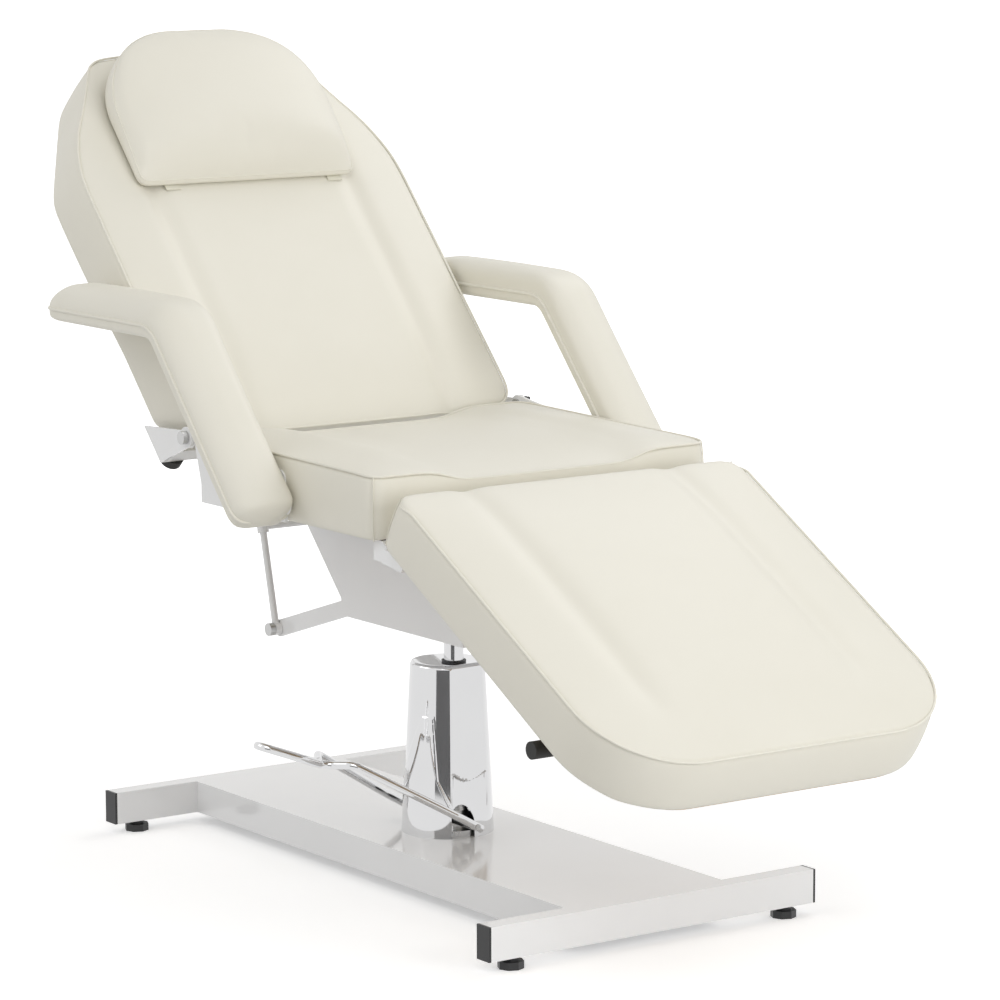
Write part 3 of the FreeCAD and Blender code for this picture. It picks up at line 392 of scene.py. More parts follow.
def leather_grain_group() -> Tree:
    """Pebbled leather grain: cell edges of a fine Voronoi pattern as Height, slow waves as Shade.

    Returns:
        The group.
    """
    tree, tool, inp, out = new_group("Leather grain", {"Scale": 620.0, "Waves": 9.0}, ("Height", "Shade"))
    cells = tool.add("ShaderNodeTexVoronoi", feature="DISTANCE_TO_EDGE")
    warp = tool.add("ShaderNodeTexNoise", Scale=180.0, Detail=2.0)
    bent = tool.add("ShaderNodeMixRGB", blend_type="ADD", Fac=0.004)
    slow = tool.add("ShaderNodeTexNoise", Detail=3.0, Roughness=0.5)
    soft = tool.add("ShaderNodeMapRange", From_Max=0.12, To_Max=1.0)
    tool.wire((inp, "Vector", warp, "Vector"), (inp, "Vector", bent, 1), (warp, "Color", bent, 2),
              (bent, 0, cells, "Vector"), (inp, "Scale", cells, "Scale"), (inp, "Vector", slow, "Vector"),
              (inp, "Waves", slow, "Scale"), (cells, "Distance", soft, "Value"),
              (soft, 0, out, "Height"), (slow, "Fac", out, "Shade"))
    return tree


def fine_texture_group() -> Tree:
    """Even fine noise for paint, moulded plastic and metal: a fast one as Height, a slow one as Cloud.

    Returns:
        The group.
    """
    tree, tool, inp, out = new_group("Fine texture", {"Scale": 900.0, "Cloud Scale": 14.0}, ("Height", "Cloud"))
    fast = tool.add("ShaderNodeTexNoise", Detail=2.0)
    slow = tool.add("ShaderNodeTexNoise", Detail=4.0)
    for noise, scale, result in ((fast, "Scale", "Height"), (slow, "Cloud Scale", "Cloud")):
        tool.wire((inp, "Vector", noise, "Vector"), (inp, scale, noise, "Scale"), (noise, "Fac", out, result))
    return tree


@dataclass(frozen=True)
class SurfaceFinish:
    """A finish with a textured bump, a slow change of colour and a slow change of roughness."""

    name: str
    light: Colour
    dark: Colour
    rough: Pair
    bump: float
    depth: float
    scale: float
    metallic: float = 0.0
    coat: float = 0.0
    coat_rough: float = 0.08
    sheen: float = 0.0
    specular: float = 0.5
    grain: bool = False

    def build(self, groups: dict[str, Tree]) -> bpy.types.Material:
        """Make the material from the shared node groups.

        Args:
            groups: the shared node groups.

        Returns:
            The material.
        """
        material, tool, shader = start_material(self.name)
        place = tool.add("ShaderNodeTexCoord")
        group = groups["grain" if self.grain else "fine"]
        texture = tool.add("ShaderNodeGroup", node_tree=group, Scale=self.scale)
        slow = "Shade" if self.grain else "Cloud"
        gloss = tool.add("ShaderNodeMapRange", To_Min=self.rough[0], To_Max=self.rough[1])
        tool.blend(self.dark, self.light, texture, slow, shader)
        tool.wire((place, "Object", texture, "Vector"), (texture, slow, gloss, "Value"),
                  (gloss, 0, shader, "Roughness"))
        tool.emboss(texture, self.bump, self.depth, shader)
        tool.put(shader, Metallic=self.metallic, Coat_Weight=self.coat, Coat_Roughness=self.coat_rough,
                 Sheen_Weight=self.sheen, Specular_IOR_Level=self.specular)
        return material


@dataclass(frozen=True)
class WoodFinish:
    """Pale plywood: long wave rings along the board with a fine fibre bump."""

    name: str = "Board wood"
    light: Colour = (0.66, 0.51, 0.34)
    dark: Colour = (0.57, 0.42, 0.27)
    stretch: Place = (1.0, 0.08, 1.0)
    rings: float = 2.5
    swirl: float = 9.0
    bump: float = 0.06
    depth: float = 0.0002
    rough: float = 0.75

    def build(self, groups: dict[str, Tree]) -> bpy.types.Material:
        """Make the material from the shared node groups.

        Args:
            groups: the shared node groups.

        Returns:
            The material.
        """
        material, tool, shader = start_material(self.name)
        place = tool.add("ShaderNodeTexCoord")
        stretch = tool.add("ShaderNodeMapping", Scale=self.stretch)
        rings = tool.add("ShaderNodeTexWave", Scale=self.rings, Distortion=self.swirl, Detail=2.0)
        fibre = tool.add("ShaderNodeGroup", node_tree=groups["fine"])
        tool.wire((place, "Object", stretch, "Vector"), (stretch, 0, rings, "Vector"),
                  (stretch, 0, fibre, "Vector"))
        tool.blend(self.dark, self.light, rings, "Fac", shader)
        tool.emboss(fibre, self.bump, self.depth, shader)
        tool.put(shader, Roughness=self.rough)
        return material


class FinishBook:
    """All the chair's materials, one for each finish."""

    def __init__(self) -> None:
        """Build the shared groups and every material."""
        groups = {"grain": leather_grain_group(), "fine": fine_texture_group()}
        recipes = {
            Finish.LEATHERETTE: SurfaceFinish(
                "Cream leatherette", (0.818, 0.790, 0.697), (0.788, 0.760, 0.661), (0.40, 0.47),
                0.16, 0.0003, 620.0, sheen=0.05, grain=True),
            Finish.ELASTIC: SurfaceFinish(
                "Cream elastic", (0.80, 0.78, 0.67), (0.72, 0.70, 0.59), (0.7, 0.8), 0.4, 0.0004, 1400.0),
            Finish.WHITE_PAINT: SurfaceFinish(
                "White gloss paint", (0.92, 0.92, 0.918), (0.90, 0.90, 0.898), (0.08, 0.13),
                0.03, 0.0002, 420.0, coat=0.25),
            Finish.BLACK_PLASTIC: SurfaceFinish(
                "Black moulded plastic", (0.030, 0.030, 0.031), (0.018, 0.018, 0.019), (0.38, 0.5),
                0.25, 0.0002, 1500.0),
            Finish.BLACK_RUBBER: SurfaceFinish(
                "Black rubber", (0.028, 0.027, 0.026), (0.016, 0.016, 0.015), (0.6, 0.75),
                0.35, 0.0003, 1100.0),
            Finish.CHROME: SurfaceFinish(
                "Polished chrome", (0.74, 0.74, 0.745), (0.70, 0.70, 0.705), (0.03, 0.07),
                0.01, 0.0001, 300.0, metallic=1.0),
            Finish.STEEL: SurfaceFinish(
                "Zinc plated steel", (0.62, 0.62, 0.61), (0.50, 0.50, 0.50), (0.22, 0.38),
                0.06, 0.0002, 800.0, metallic=1.0),
            Finish.BOARD_WOOD: WoodFinish(),
        }
        self.materials = {finish: recipe.build(groups) for finish, recipe in recipes.items()}

    def dress(self, obj: Object, finish: Finish, body: str | None = None) -> Object:
        """Give an object its finish and, for a new piece, the body that it rides on.

        Args:
            obj: the piece.
            finish: its finish.
            body: the body of a new piece.

        Returns:
            The same object.
        """
        obj.data.materials.clear()
        obj.data.materials.append(self.materials[finish])
        if body is not None:
            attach(obj, body)
        return obj

    def cord(self, name: str, path: Array, radius: float, sides: int, closed: bool, body: str) -> None:
        """Sew a round leatherette cord along a path."""
        cord = make_object(name, *tube_surface(path, radius, sides, closed))
        self.dress(cord, Finish.LEATHERETTE, body)


# Upholstery


@dataclass(frozen=True)
class Outline:
    """The right half of a pad's plan, from the middle of its near end to the middle of its far end."""

    points: Array
    near_corner: float
    far_corner: float

    def edges(self, across: int, along: int) -> tuple[Array, Array, Array]:
        """Split the outline at its corners into even points.

        Args:
            across: points along each end.
            along: points along each side.

        Returns:
            The near end from left to right, the far end from left to right and the right side.
        """
        reach = arc_length(self.points)

        def part(first: float, last: float) -> Array:
            """The run between two lengths along the outline."""
            inside = self.points[(reach > first) & (reach < last)]
            ends = [np.array([np.interp(t, reach, self.points[:, k]) for k in (0, 1)]) for t in (first, last)]
            return np.vstack([ends[0], inside, ends[1]])
        ends = (part(0.0, self.near_corner), part(self.far_corner, reach[-1])[::-1])
        near, far = (resample(np.vstack([end[::-1] * MIRROR, end[1:]]), across) for end in ends)
        return near, far, resample(part(self.near_corner, self.far_corner), along)


def rounded_outline(half: float, near: float, far: float, near_radius: float, far_radius: float) -> Outline:
    """A rectangle with round corners: straight runs joined by quarter circles.

    Args:
        half: half the width.
        near: the end nearest the seat's middle, in y.
        far: the other end, in y.
        near_radius: corner radius at the near end.
        far_radius: corner radius at the far end.

    Returns:
        The right half as an outline, corners at the middle of each quarter circle.
    """
    sign = 1.0 if far > near else -1.0
    low = arc_points((half - near_radius, near_radius), near_radius, -90, 0)
    high = arc_points((half - far_radius, abs(far - near) - far_radius), far_radius, 0, 90)
    points = np.vstack([[0.0, 0.0], low, high, [0.0, abs(far - near)]])
    points[:, 1] = near + sign * points[:, 1]
    first = half - near_radius + near_radius * math.pi / 4
    last = arc_length(points)[-1] - (half - far_radius) - far_radius * math.pi / 4
    return Outline(points, first, last)


@dataclass
class Pad:
    """A box-like cushion: a crowned top panel, a side band between two outlines and a flat underside."""

    name: str
    node: str
    body: str
    turn: Turn
    top: Outline
    bottom: Outline
    low: float
    seam: float
    crown: float
    band_bulge: float
    channel_x: float = 0.18
    channel_depth: float = 0.007
    channel_width: float = 0.017
    channel_from: float = 0.0
    channel_to: float = 1.0
    far_seam: float | None = None
    roll: float = 1.0
    dish: float = 0.0
    dish_to: float = 2.0
    hollow: float = 0.0
    near_drop: float = 0.0
    near_bulge: float = 0.0
    near_slope: float = 0.0
    near_piping: bool = True
    near_reach: float = 1.0
    shift: float = 0.0
    cells: float = 0.0125
    pressure: float = 4.0
    cap: float = 0.009
    fill: float = 0.8
    corner_seams: tuple[int, ...] = ()
    pipe_radius: float = 0.0020
    recess: float = 0.003
    recess_from: float = 0.012
    drop_reach: float = 0.045
    channel_fade: float = 0.12
    dish_fade: float = 0.16
    dish_share: float = 0.94
    dish_edge: float = 0.013
    pipe_points: int = 420
    cord_points: int = 30
    cord_share: float = 0.5
    pipe_tuck: int = 8

    def __post_init__(self) -> None:
        """Work out the length and the grid from the size of a cell."""
        self.near = self.top.points[0, 1]
        self.span = self.top.points[-1, 1] - self.near
        self.across = max(16, round(2 * self.top.points[:, 0].max() / self.cells))
        self.along = max(16, round(abs(self.span) / self.cells))
        self.rings = max(5, round((self.seam - self.low) / self.cells))

    def build(self, book: FinishBook) -> None:
        """Make the pad, swell it, press its channels, and sew on its piping.

        Args:
            book: the finishes.
        """
        points, quads, loops = self.surface()
        points[:, 0] += self.shift
        pad = make_object(self.name, points, quads)
        held = np.concatenate([loops["seam"], loops["underside"]])
        inflate(pad, held, self.pressure, self.cap)
        write_points(pad, self.press(self.hold_near(read_points(pad))))
        seam = read_points(pad)[loops["seam"]]
        corners = [read_points(pad)[run] for run in self.corner_runs(loops)]
        subdivide(pad, 1)
        write_points(pad, self.turn.apply(read_points(pad)))
        book.dress(pad, Finish.LEATHERETTE, self.body)
        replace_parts(pad, self.node)
        self.pipe(book, seam, corners)
        LOG.info("%s: %d faces", self.name, len(pad.data.polygons))

    def patch(self, outline: Outline) -> Array:
        """Fill an outline with an even grid of along x across x 2 plan places.

        The patch adds the blend of the two ends to the blend of the two sides and takes off the blend
        of the four corners.

        Args:
            outline: the right half of the plan.

        Returns:
            The plan places.
        """
        near, far, right = outline.edges(self.across, self.along)
        left = right * MIRROR
        u = np.linspace(0, 1, self.across)[None, :, None]
        v = np.linspace(0, 1, self.along)[:, None, None]
        ends = (1 - v) * near[None] + v * far[None]
        sides = (1 - u) * left[:, None] + u * right[:, None]
        corners = (1 - v) * ((1 - u) * near[0] + u * near[-1]) + v * ((1 - u) * far[0] + u * far[-1])
        return ends + sides - corners

    def surface(self) -> tuple[Array, Array, dict[str, Array]]:
        """The closed pad.

        The top is the patch at the seam's height plus the crown times ((1 - p^4)(1 - q^4))^roll, with p and q
        from -1 to 1 across and along. The seam's height runs evenly from the near end to the far one, and dips
        at the near end by the drop times (1 - s / its reach)^2. With a near slope the rise there is
        h / (1 + h^6)^(1/6), h being the distance s from the near end over the slope's length. The band runs
        from the bottom outline to the top one and stands out by the bulge times 4 t (1 - t), more at the near
        end.

        Returns:
            The points, the quads and the numbers of the points on the seam and the underside.
        """
        rows, columns = self.along, self.across
        top, under = self.patch(self.top), self.patch(self.bottom)
        p = np.linspace(-1, 1, columns)[None, :]
        q = np.linspace(-1, 1, rows)[:, None]
        far_seam = self.seam if self.far_seam is None else self.far_seam
        sewn = self.seam + (far_seam - self.seam) * (q + 1) / 2
        away = (q + 1) / 2 * abs(self.span)
        lengthwise = 1 - q ** 4
        if self.near_slope:
            share = away / self.near_slope
            knee = share / (1 + share ** 6) ** (1 / 6)
            lengthwise = np.where(q < 0, knee ** (1 / self.roll), lengthwise)
        rise = (self.seam + self.crown - sewn) * ((1 - p ** 4) * lengthwise) ** self.roll
        sewn = sewn - self.near_drop * np.clip(1 - away / self.drop_reach, 0, 1) ** 2
        top3 = np.dstack([top, sewn + rise]).reshape(-1, 3)
        under3 = np.dstack([under, self.low + self.sink(under)]).reshape(-1, 3)
        number = np.arange(rows * columns).reshape(rows, columns)
        ring = np.concatenate([number[0, :-1], number[:-1, -1], number[-1, :0:-1], number[:0:-1, 0]])
        upper, lower = top3[ring], under3[ring]
        run = np.roll(upper, -1, axis=0) - np.roll(upper, 1, axis=0)
        out = np.stack([run[:, 1], -run[:, 0], np.zeros(len(run))], -1)
        out = unit(out)
        out *= np.sign(np.sum(out[:, :2] * (upper[:, :2] - upper[:, :2].mean(0)), 1).mean())
        t = np.linspace(0, 1, self.rings + 1)[1:-1, None, None]
        bulge = np.full((len(ring), 1), self.band_bulge)
        bulge[:columns - 1, 0] += self.near_bulge * (1 - p[0, :-1] ** 4)
        band = (1 - t) * lower[None] + t * upper[None] + 4 * t * (1 - t) * bulge * out[None]
        count = rows * columns
        points = np.vstack([top3, under3, band.reshape(-1, 3)])
        face = grid_quads(rows, columns)
        between = 2 * count + np.arange((self.rings - 1) * len(ring)).reshape(-1, len(ring))
        stack = np.vstack([ring + count, between, ring])
        side = stack.ravel()[grid_quads(len(stack), len(ring), wrap=True)]
        if self.span < 0:
            face, side = face[:, ::-1], side[:, ::-1]
        quads = np.concatenate([face, face[:, ::-1] + count, side])
        return points, quads, {"seam": ring, "underside": np.arange(count, 2 * count), "stack": stack}

    def press(self, points: Array) -> Array:
        """Press the sewn channels and the sat-in middle into the top panel.

        A channel takes off its depth times exp(-(d / width)^2), d being the distance from its line, and fades
        out at its ends. The dish and the hollow lower the middle panel by a soft step,
        1 / (1 + exp((x - c) / w)), c being just inside the channel; the hollow fades out from the near end.

        Args:
            points: the swollen pad's points.

        Returns:
            The pressed points.
        """
        rows, columns = self.along, self.across
        top = points[:rows * columns].reshape(rows, columns, 3)
        v = np.linspace(0, 1, rows)[:, None]
        start = np.clip((v - self.channel_from) / self.channel_fade + 0.5, 0, 1)
        fade = start * np.clip((self.channel_to - v) / self.channel_fade + 0.5, 0, 1)
        d = np.abs(np.abs(top[..., 0]) - self.channel_x)
        top[..., 2] -= fade * self.channel_depth * np.exp(-((d / self.channel_width) ** 2))
        inside = np.abs(top[..., 0]) - self.dish_share * self.channel_x
        middle = 1 / (1 + np.exp(inside / self.dish_edge))
        reach = np.clip((self.dish_to - v) / self.dish_fade + 0.5, 0, 1)
        top[..., 2] -= middle * (self.dish * reach + self.hollow * (1 - v) ** 3)
        return points

    def sink(self, under: Array) -> Array:
        """Rise of the underside over its rim: full once clear of the edge, so that the board covers it.

        Args:
            under: the underside's plan places.

        Returns:
            The rise at each place.
        """
        edge = np.concatenate([under[0], under[-1], under[:, 0], under[:, -1]])
        gap = np.linalg.norm(under[:, :, None, :] - edge, axis=-1).min(-1)
        return self.recess * np.clip(gap / self.recess_from, 0, 1)

    def hold_near(self, points: Array) -> Array:
        """Keep the near end's face within its reach of the outline, clear of the next cushion.

        Args:
            points: the pad's points.

        Returns:
            The points, those past the reach moved back.
        """
        sign = math.copysign(1.0, self.span)
        points[:, 1] = self.near + sign * np.maximum(sign * (points[:, 1] - self.near), -self.near_reach)
        return points

    def corner_runs(self, loops: dict[str, Array]) -> list[Array]:
        """Point numbers of the upright seams, one run for each named corner of the band.

        Args:
            loops: numbers of the special points.

        Returns:
            The runs, from the bottom up.
        """
        stack = loops["stack"]
        marks = [0, self.across - 1, self.across + self.along - 2, 2 * self.across + self.along - 3]
        return [stack[:, marks[k]] for k in self.corner_seams]

    def pipe(self, book: FinishBook, seam: Array, corners: list[Array]) -> None:
        """Sew piping round the top seam's loop and fine cords down the corner seams.

        Args:
            book: the finishes.
            seam: the points of the top seam's loop.
            corners: the points of each upright seam.
        """
        path = smooth_loop(seam, self.pipe_points)
        if not self.near_piping:
            path = resample(seam[self.across - 1:], self.pipe_points)
            count = np.arange(self.pipe_points)
            tuck = np.clip(1 - np.minimum(count, count[::-1]) / self.pipe_tuck, 0, 1)
            path[:, 2] -= 4 * self.pipe_radius * tuck
        path = self.turn.apply(path)
        book.cord(self.name + "_piping", path, self.pipe_radius, 10, self.near_piping, self.body)
        for k, run in enumerate(corners):
            line = self.turn.apply(resample(run, self.cord_points))
            book.cord(f"{self.name}_corner_seam_{k}", line, self.pipe_radius * self.cord_share, 8, False, self.body)


def smooth_loop(points: Array, count: int) -> Array:
    """Even points round a closed loop, each averaged with its neighbours twice.

    Args:
        points: the loop's corners.
        count: number of points wanted.

    Returns:
        count x 3 points.
    """
    loop = resample(np.vstack([points, points[:1]]), count + 1)[:-1]
    for _ in range(2):
        loop = 0.5 * loop + 0.25 * (np.roll(loop, 1, 0) + np.roll(loop, -1, 0))
    return loop


def round_corners(points: Array, passes: int = 3) -> Array:
    """Cut a polyline's corners: each pass puts points at a quarter and three quarters of every run.

    Args:
        points: the polyline's corners.
        passes: number of passes.

    Returns:
        The rounded polyline.
    """
    for _ in range(passes):
        cut = np.stack([0.75 * points[:-1] + 0.25 * points[1:], 0.25 * points[:-1] + 0.75 * points[1:]], 1)
        points = np.vstack([points[:1], cut.reshape(-1, 2), points[-1:]])
    return points


def back_outline(near: float, corner: float, side: tuple[Pair, ...]) -> Outline:
    """The backrest's plan: a round lower corner, a side rounded through given points and a level top.

    Args:
        near: the y of the lower end.
        corner: the radius of the lower corner.
        side: points of the side, from its straight run to the top.

    Returns:
        The right half as an outline, its far corner where x - y is nearest to minus SHOULDER_LINE.
    """
    run = round_corners(np.array(side))
    half = run[0, 0]
    low = arc_points((half - corner, near + corner), corner, -90, 0)
    points = np.vstack([[0.0, near], low, run, [0.0, run[-1, 1]]])
    shoulder = arc_length(points)[np.argmin(np.abs(points[:, 0] - points[:, 1] + SHOULDER_LINE))]
    return Outline(points, half - corner + corner * math.pi / 4, shoulder)


@dataclass
class Armrest:
    """A bent armrest pad: a domed section carried along a straight, bent and straight path."""

    side: int
    rear: Pair = (0.482, 0.850)
    bend: Pair = (0.179, 0.850)
    foot: Pair = (-0.0453, 0.6003)
    bend_radius: float = 0.062
    inner_x: float = 0.3055
    width: float = 0.0945
    seam: float = -0.008
    dome: float = 0.0365
    band: float = 0.0195
    end: float = 0.028
    round_end: float = 0.046
    rear_taper: float = 0.040
    rear_band: float = 0.05
    foot_band: float = 0.010
    foot_round: float = 0.034
    foot_dome: float = 0.018
    width_power: float = 2.6
    end_power: float = 2.0
    taper_power: float = 0.4
    under_power: float = 6.0
    outer_power: float = 2.15
    inner_power: float = 5.0
    least: Pair = (0.02, 0.03)
    pressure: float = 3.0
    cap: float = 0.003
    pipe_radius: float = 0.0026
    pipe_points: int = 300
    rows: int = 90
    columns: int = 48

    @property
    def label(self) -> str:
        """left or right."""
        return "left" if self.side < 0 else "right"

    def path(self) -> tuple[Array, Array]:
        """The middle line in the side view and its direction.

        Two straight runs joined by a circle that touches both.

        Returns:
            rows x 2 places and rows x 2 unit tangents.
        """
        foot, bend, rear = (np.array(p) for p in (self.foot, self.bend, self.rear))
        lift = (bend - foot) / np.linalg.norm(bend - foot)
        turn = math.atan2(lift[1], lift[0])
        reach = self.bend_radius * math.tan(turn / 2)
        start = bend - lift * reach
        centre = start + self.bend_radius * np.array([lift[1], -lift[0]])
        sweep = arc_points(tuple(centre), self.bend_radius, math.degrees(turn) + 90, 90, 20)
        low = foot - lift * self.end
        far = rear + np.array([self.end, 0.0])
        line = resample(np.vstack([low, sweep, far]), self.rows)
        return line, unit(np.gradient(line, axis=0))

    def shrink(self) -> tuple[Array, Array, Array]:
        """How the section narrows at the ends.

        The width and the band follow (1 - k^n)^(1/n), k growing from 0 to 1 over the round end. The dome does
        so at the foot, and at the rear it rises as the share of its taper to the taper power.

        Returns:
            Factors of the width, the dome and the band for each row.
        """
        low = arc_length(self.path()[0])
        far = low[-1] - low

        def rounded(left: Array, reach: float, power: float) -> Array:
            """The round end's factor for the length left to it."""
            k = np.clip(1 - left / reach, 0, 1)
            return np.clip(1 - k ** power, 0, 1) ** (1 / power)
        wide = rounded(low, self.foot_round, self.width_power) * rounded(far, self.round_end, self.width_power)
        taper = np.clip(far / self.rear_taper, 0, 1) ** self.taper_power
        dome = rounded(low, self.foot_dome, self.end_power) * taper
        band = rounded(low, self.foot_band, self.end_power) * rounded(far, self.rear_band, self.end_power)
        thin, flat = self.least
        return np.maximum(wide, thin), np.maximum(dome, flat), np.maximum(band, flat)

    def section(self, angle: Array) -> tuple[Array, Array]:
        """The section: a dome above the seam, fuller on the inner side, and a nearly square band below it.

        Each quarter is a superellipse |a|^n + |b|^n = 1.

        Args:
            angle: places round the section, 0 at the outer side.

        Returns:
            Sideways parts from -1 to 1, and heights over the seam in metres.
        """
        c, s = np.cos(angle), np.sin(angle)
        power = np.where(s < 0, self.under_power, np.where(c > 0, self.outer_power, self.inner_power))
        across = np.sign(c) * np.abs(c) ** (2 / power)
        return across, np.abs(s) ** (2 / power) * np.where(s < 0, -self.band, self.dome)

    def place(self, angle: Array) -> Array:
        """Points of the sweep, rows x len(angle) x 3, for places round the section.

        Args:
            angle: places round the section.

        Returns:
            The points.
        """
        line, tangent = self.path()
        wide, dome, band = self.shrink()
        normal = np.stack([-tangent[:, 1], tangent[:, 0]], -1)
        across, up = self.section(angle)
        x = self.inner_x + self.width / 2 * (1 + across[None, :] * wide[:, None])
        lift = self.seam + up[None, :] * np.where(up[None, :] < 0, band[:, None], dome[:, None])
        yz = line[:, None, :] + lift[..., None] * normal[:, None, :]
        return np.concatenate([self.side * x[..., None], yz], -1)

    def build(self, book: FinishBook) -> None:
        """Make the pad, swell it and sew on its piping.

        Args:
            book: the finishes.
        """
        angle = np.linspace(0, 2 * np.pi, self.columns, endpoint=False)
        points = self.place(angle).reshape(-1, 3)
        number = np.arange(len(points)).reshape(self.rows, self.columns)
        faces = grid_quads(self.rows, self.columns, wrap=True).tolist()
        faces += [number[0, ::-1].tolist(), number[-1].tolist()]
        if self.side > 0:
            faces = [f[::-1] for f in faces]
        name = "armrest_cushion_" + self.label
        pad = make_object(name, points, faces)
        half, eighth = self.columns // 2, self.columns // 8
        held = (number[:, [0, half]], number[:, 5 * eighth:7 * eighth], number[[0, -1]])
        inflate(pad, np.unique(np.concatenate([part.ravel() for part in held])), self.pressure, self.cap)
        subdivide(pad, 1)
        body = "armrest_" + self.label
        book.dress(pad, Finish.LEATHERETTE, body)
        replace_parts(pad, "armrest_pad_" + self.label)
        edge = self.place(np.array([0.0, math.pi]))
        loop = np.vstack([edge[1:-1, 0], edge[-2:0:-1, 1]])
        book.cord(name + "_piping", smooth_loop(loop, self.pipe_points), self.pipe_radius, 10, True, body)
        LOG.info("%s: %d faces", name, len(pad.data.polygons))


@dataclass
class Upholstery:
    """All the cushions of the chair."""

    seat_half: float = 0.2990
    seat_ends: Pair = (-0.2555, 0.2215)
    seat_corners: Pair = (0.022, 0.022)
    leg_half: float = 0.3015
    leg_ends: Pair = (-0.2595, -0.880)
    leg_corners: Pair = (0.030, 0.140)
    pillow_half: float = 0.1965
    pillow_ends: Pair = (0.693, 0.967)
    pillow_corners: Pair = (0.012, 0.150)
    back_near: Pair = (0.2385, 0.314)
    back_corners: Pair = (0.030, 0.010)
    back_top_side: tuple[Pair, ...] = (
        (0.2925, 0.690), (0.2905, 0.735), (0.2795, 0.776), (0.2625, 0.818),
        (0.2346, 0.8624), (0.207, 0.915), (0.186, 0.958), (0.132, 0.9645))
    back_low_side: tuple[Pair, ...] = (
        (0.2925, 0.450), (0.300, 0.600), (0.3015, 0.725), (0.2985, 0.748), (0.2895, 0.771), (0.267, 0.818),
        (0.2447, 0.8654), (0.222, 0.9133), (0.207, 0.935), (0.183, 0.960), (0.132, 0.9645))

    def pads(self) -> list[Pad]:
        """Seat, leg rest, backrest and pillow, the box-like cushions.

        Returns:
            The cushions, not yet built.
        """
        seat = rounded_outline(self.seat_half, *self.seat_ends, *self.seat_corners)
        leg = rounded_outline(self.leg_half, *self.leg_ends, *self.leg_corners)
        pillow = rounded_outline(self.pillow_half, *self.pillow_ends, *self.pillow_corners)
        back_top = back_outline(self.back_near[0], self.back_corners[0], self.back_top_side)
        back_low = back_outline(self.back_near[1], self.back_corners[1], self.back_low_side)
        return [
            Pad("seat_cushion", "seat_pad", "seat", LEVEL, seat, seat,
                low=0.570, seam=0.664, crown=0.019, band_bulge=0.003, far_seam=0.671,
                channel_from=0.10, channel_to=0.80, channel_depth=0.004, dish=0.015, hollow=0.002,
                near_drop=0.002, near_reach=0.002, corner_seams=(0, 1)),
            Pad("leg_rest_cushion", "leg_pad", "leg", LEG_TURN, leg, leg,
                low=0.575, seam=0.660, crown=0.011, band_bulge=0.003, channel_from=-0.3, channel_to=0.80,
                near_drop=0.003, near_reach=0.0005, near_piping=False, corner_seams=(0, 1)),
            Pad("back_cushion", "back_pad", "back", BACK_TURN, back_top, back_low,
                low=0.576, seam=0.671, crown=0.011, band_bulge=0.002,
                channel_depth=0.010, channel_width=0.014, channel_from=-0.3, channel_to=0.9,
                dish=0.009, dish_to=0.62, near_drop=0.006, near_bulge=0.023, cap=0.006),
            Pad("pillow_cushion", "head_pillow", "pillow", BACK_TURN, pillow, pillow,
                low=0.6857, seam=0.6985, crown=0.052, band_bulge=0.003, far_seam=0.727, roll=0.55,
                channel_depth=0.0, near_slope=0.045, shift=-0.012, cells=0.008, cap=0.005,
                pipe_radius=0.0012, recess=0.0),
        ]

    def build(self, book: FinishBook) -> None:
        """Make every cushion.

        Args:
            book: the finishes.
        """
        for pad in self.pads():
            pad.build(book)
        for side in (-1, 1):
            Armrest(side).build(book)


# Carried-over frame pieces


class Metalwork:
    """The frame's own pieces, which keep their shape and get their finishes."""

    def build(self, book: FinishBook) -> None:
        """Dress every node by its record slot.

        Args:
            book: the finishes.
        """
        slots = {row["node"]: row["material_slot"] for row in frame["record"]["subparts"]}
        for name, obj in frame["nodes"].items():
            book.dress(obj, Finish(slots[name]))
            self.soften(obj)
        LOG.info("dressed %d frame pieces", len(slots))

    @staticmethod
    def soften(obj: Object) -> None:
        """Shade round faces smoothly and keep edges over CRISP degrees crisp."""
        obj.data.polygons.foreach_set("use_smooth", np.full(len(obj.data.polygons), True))
        obj.data.set_sharp_from_angle(angle=math.radians(CRISP))


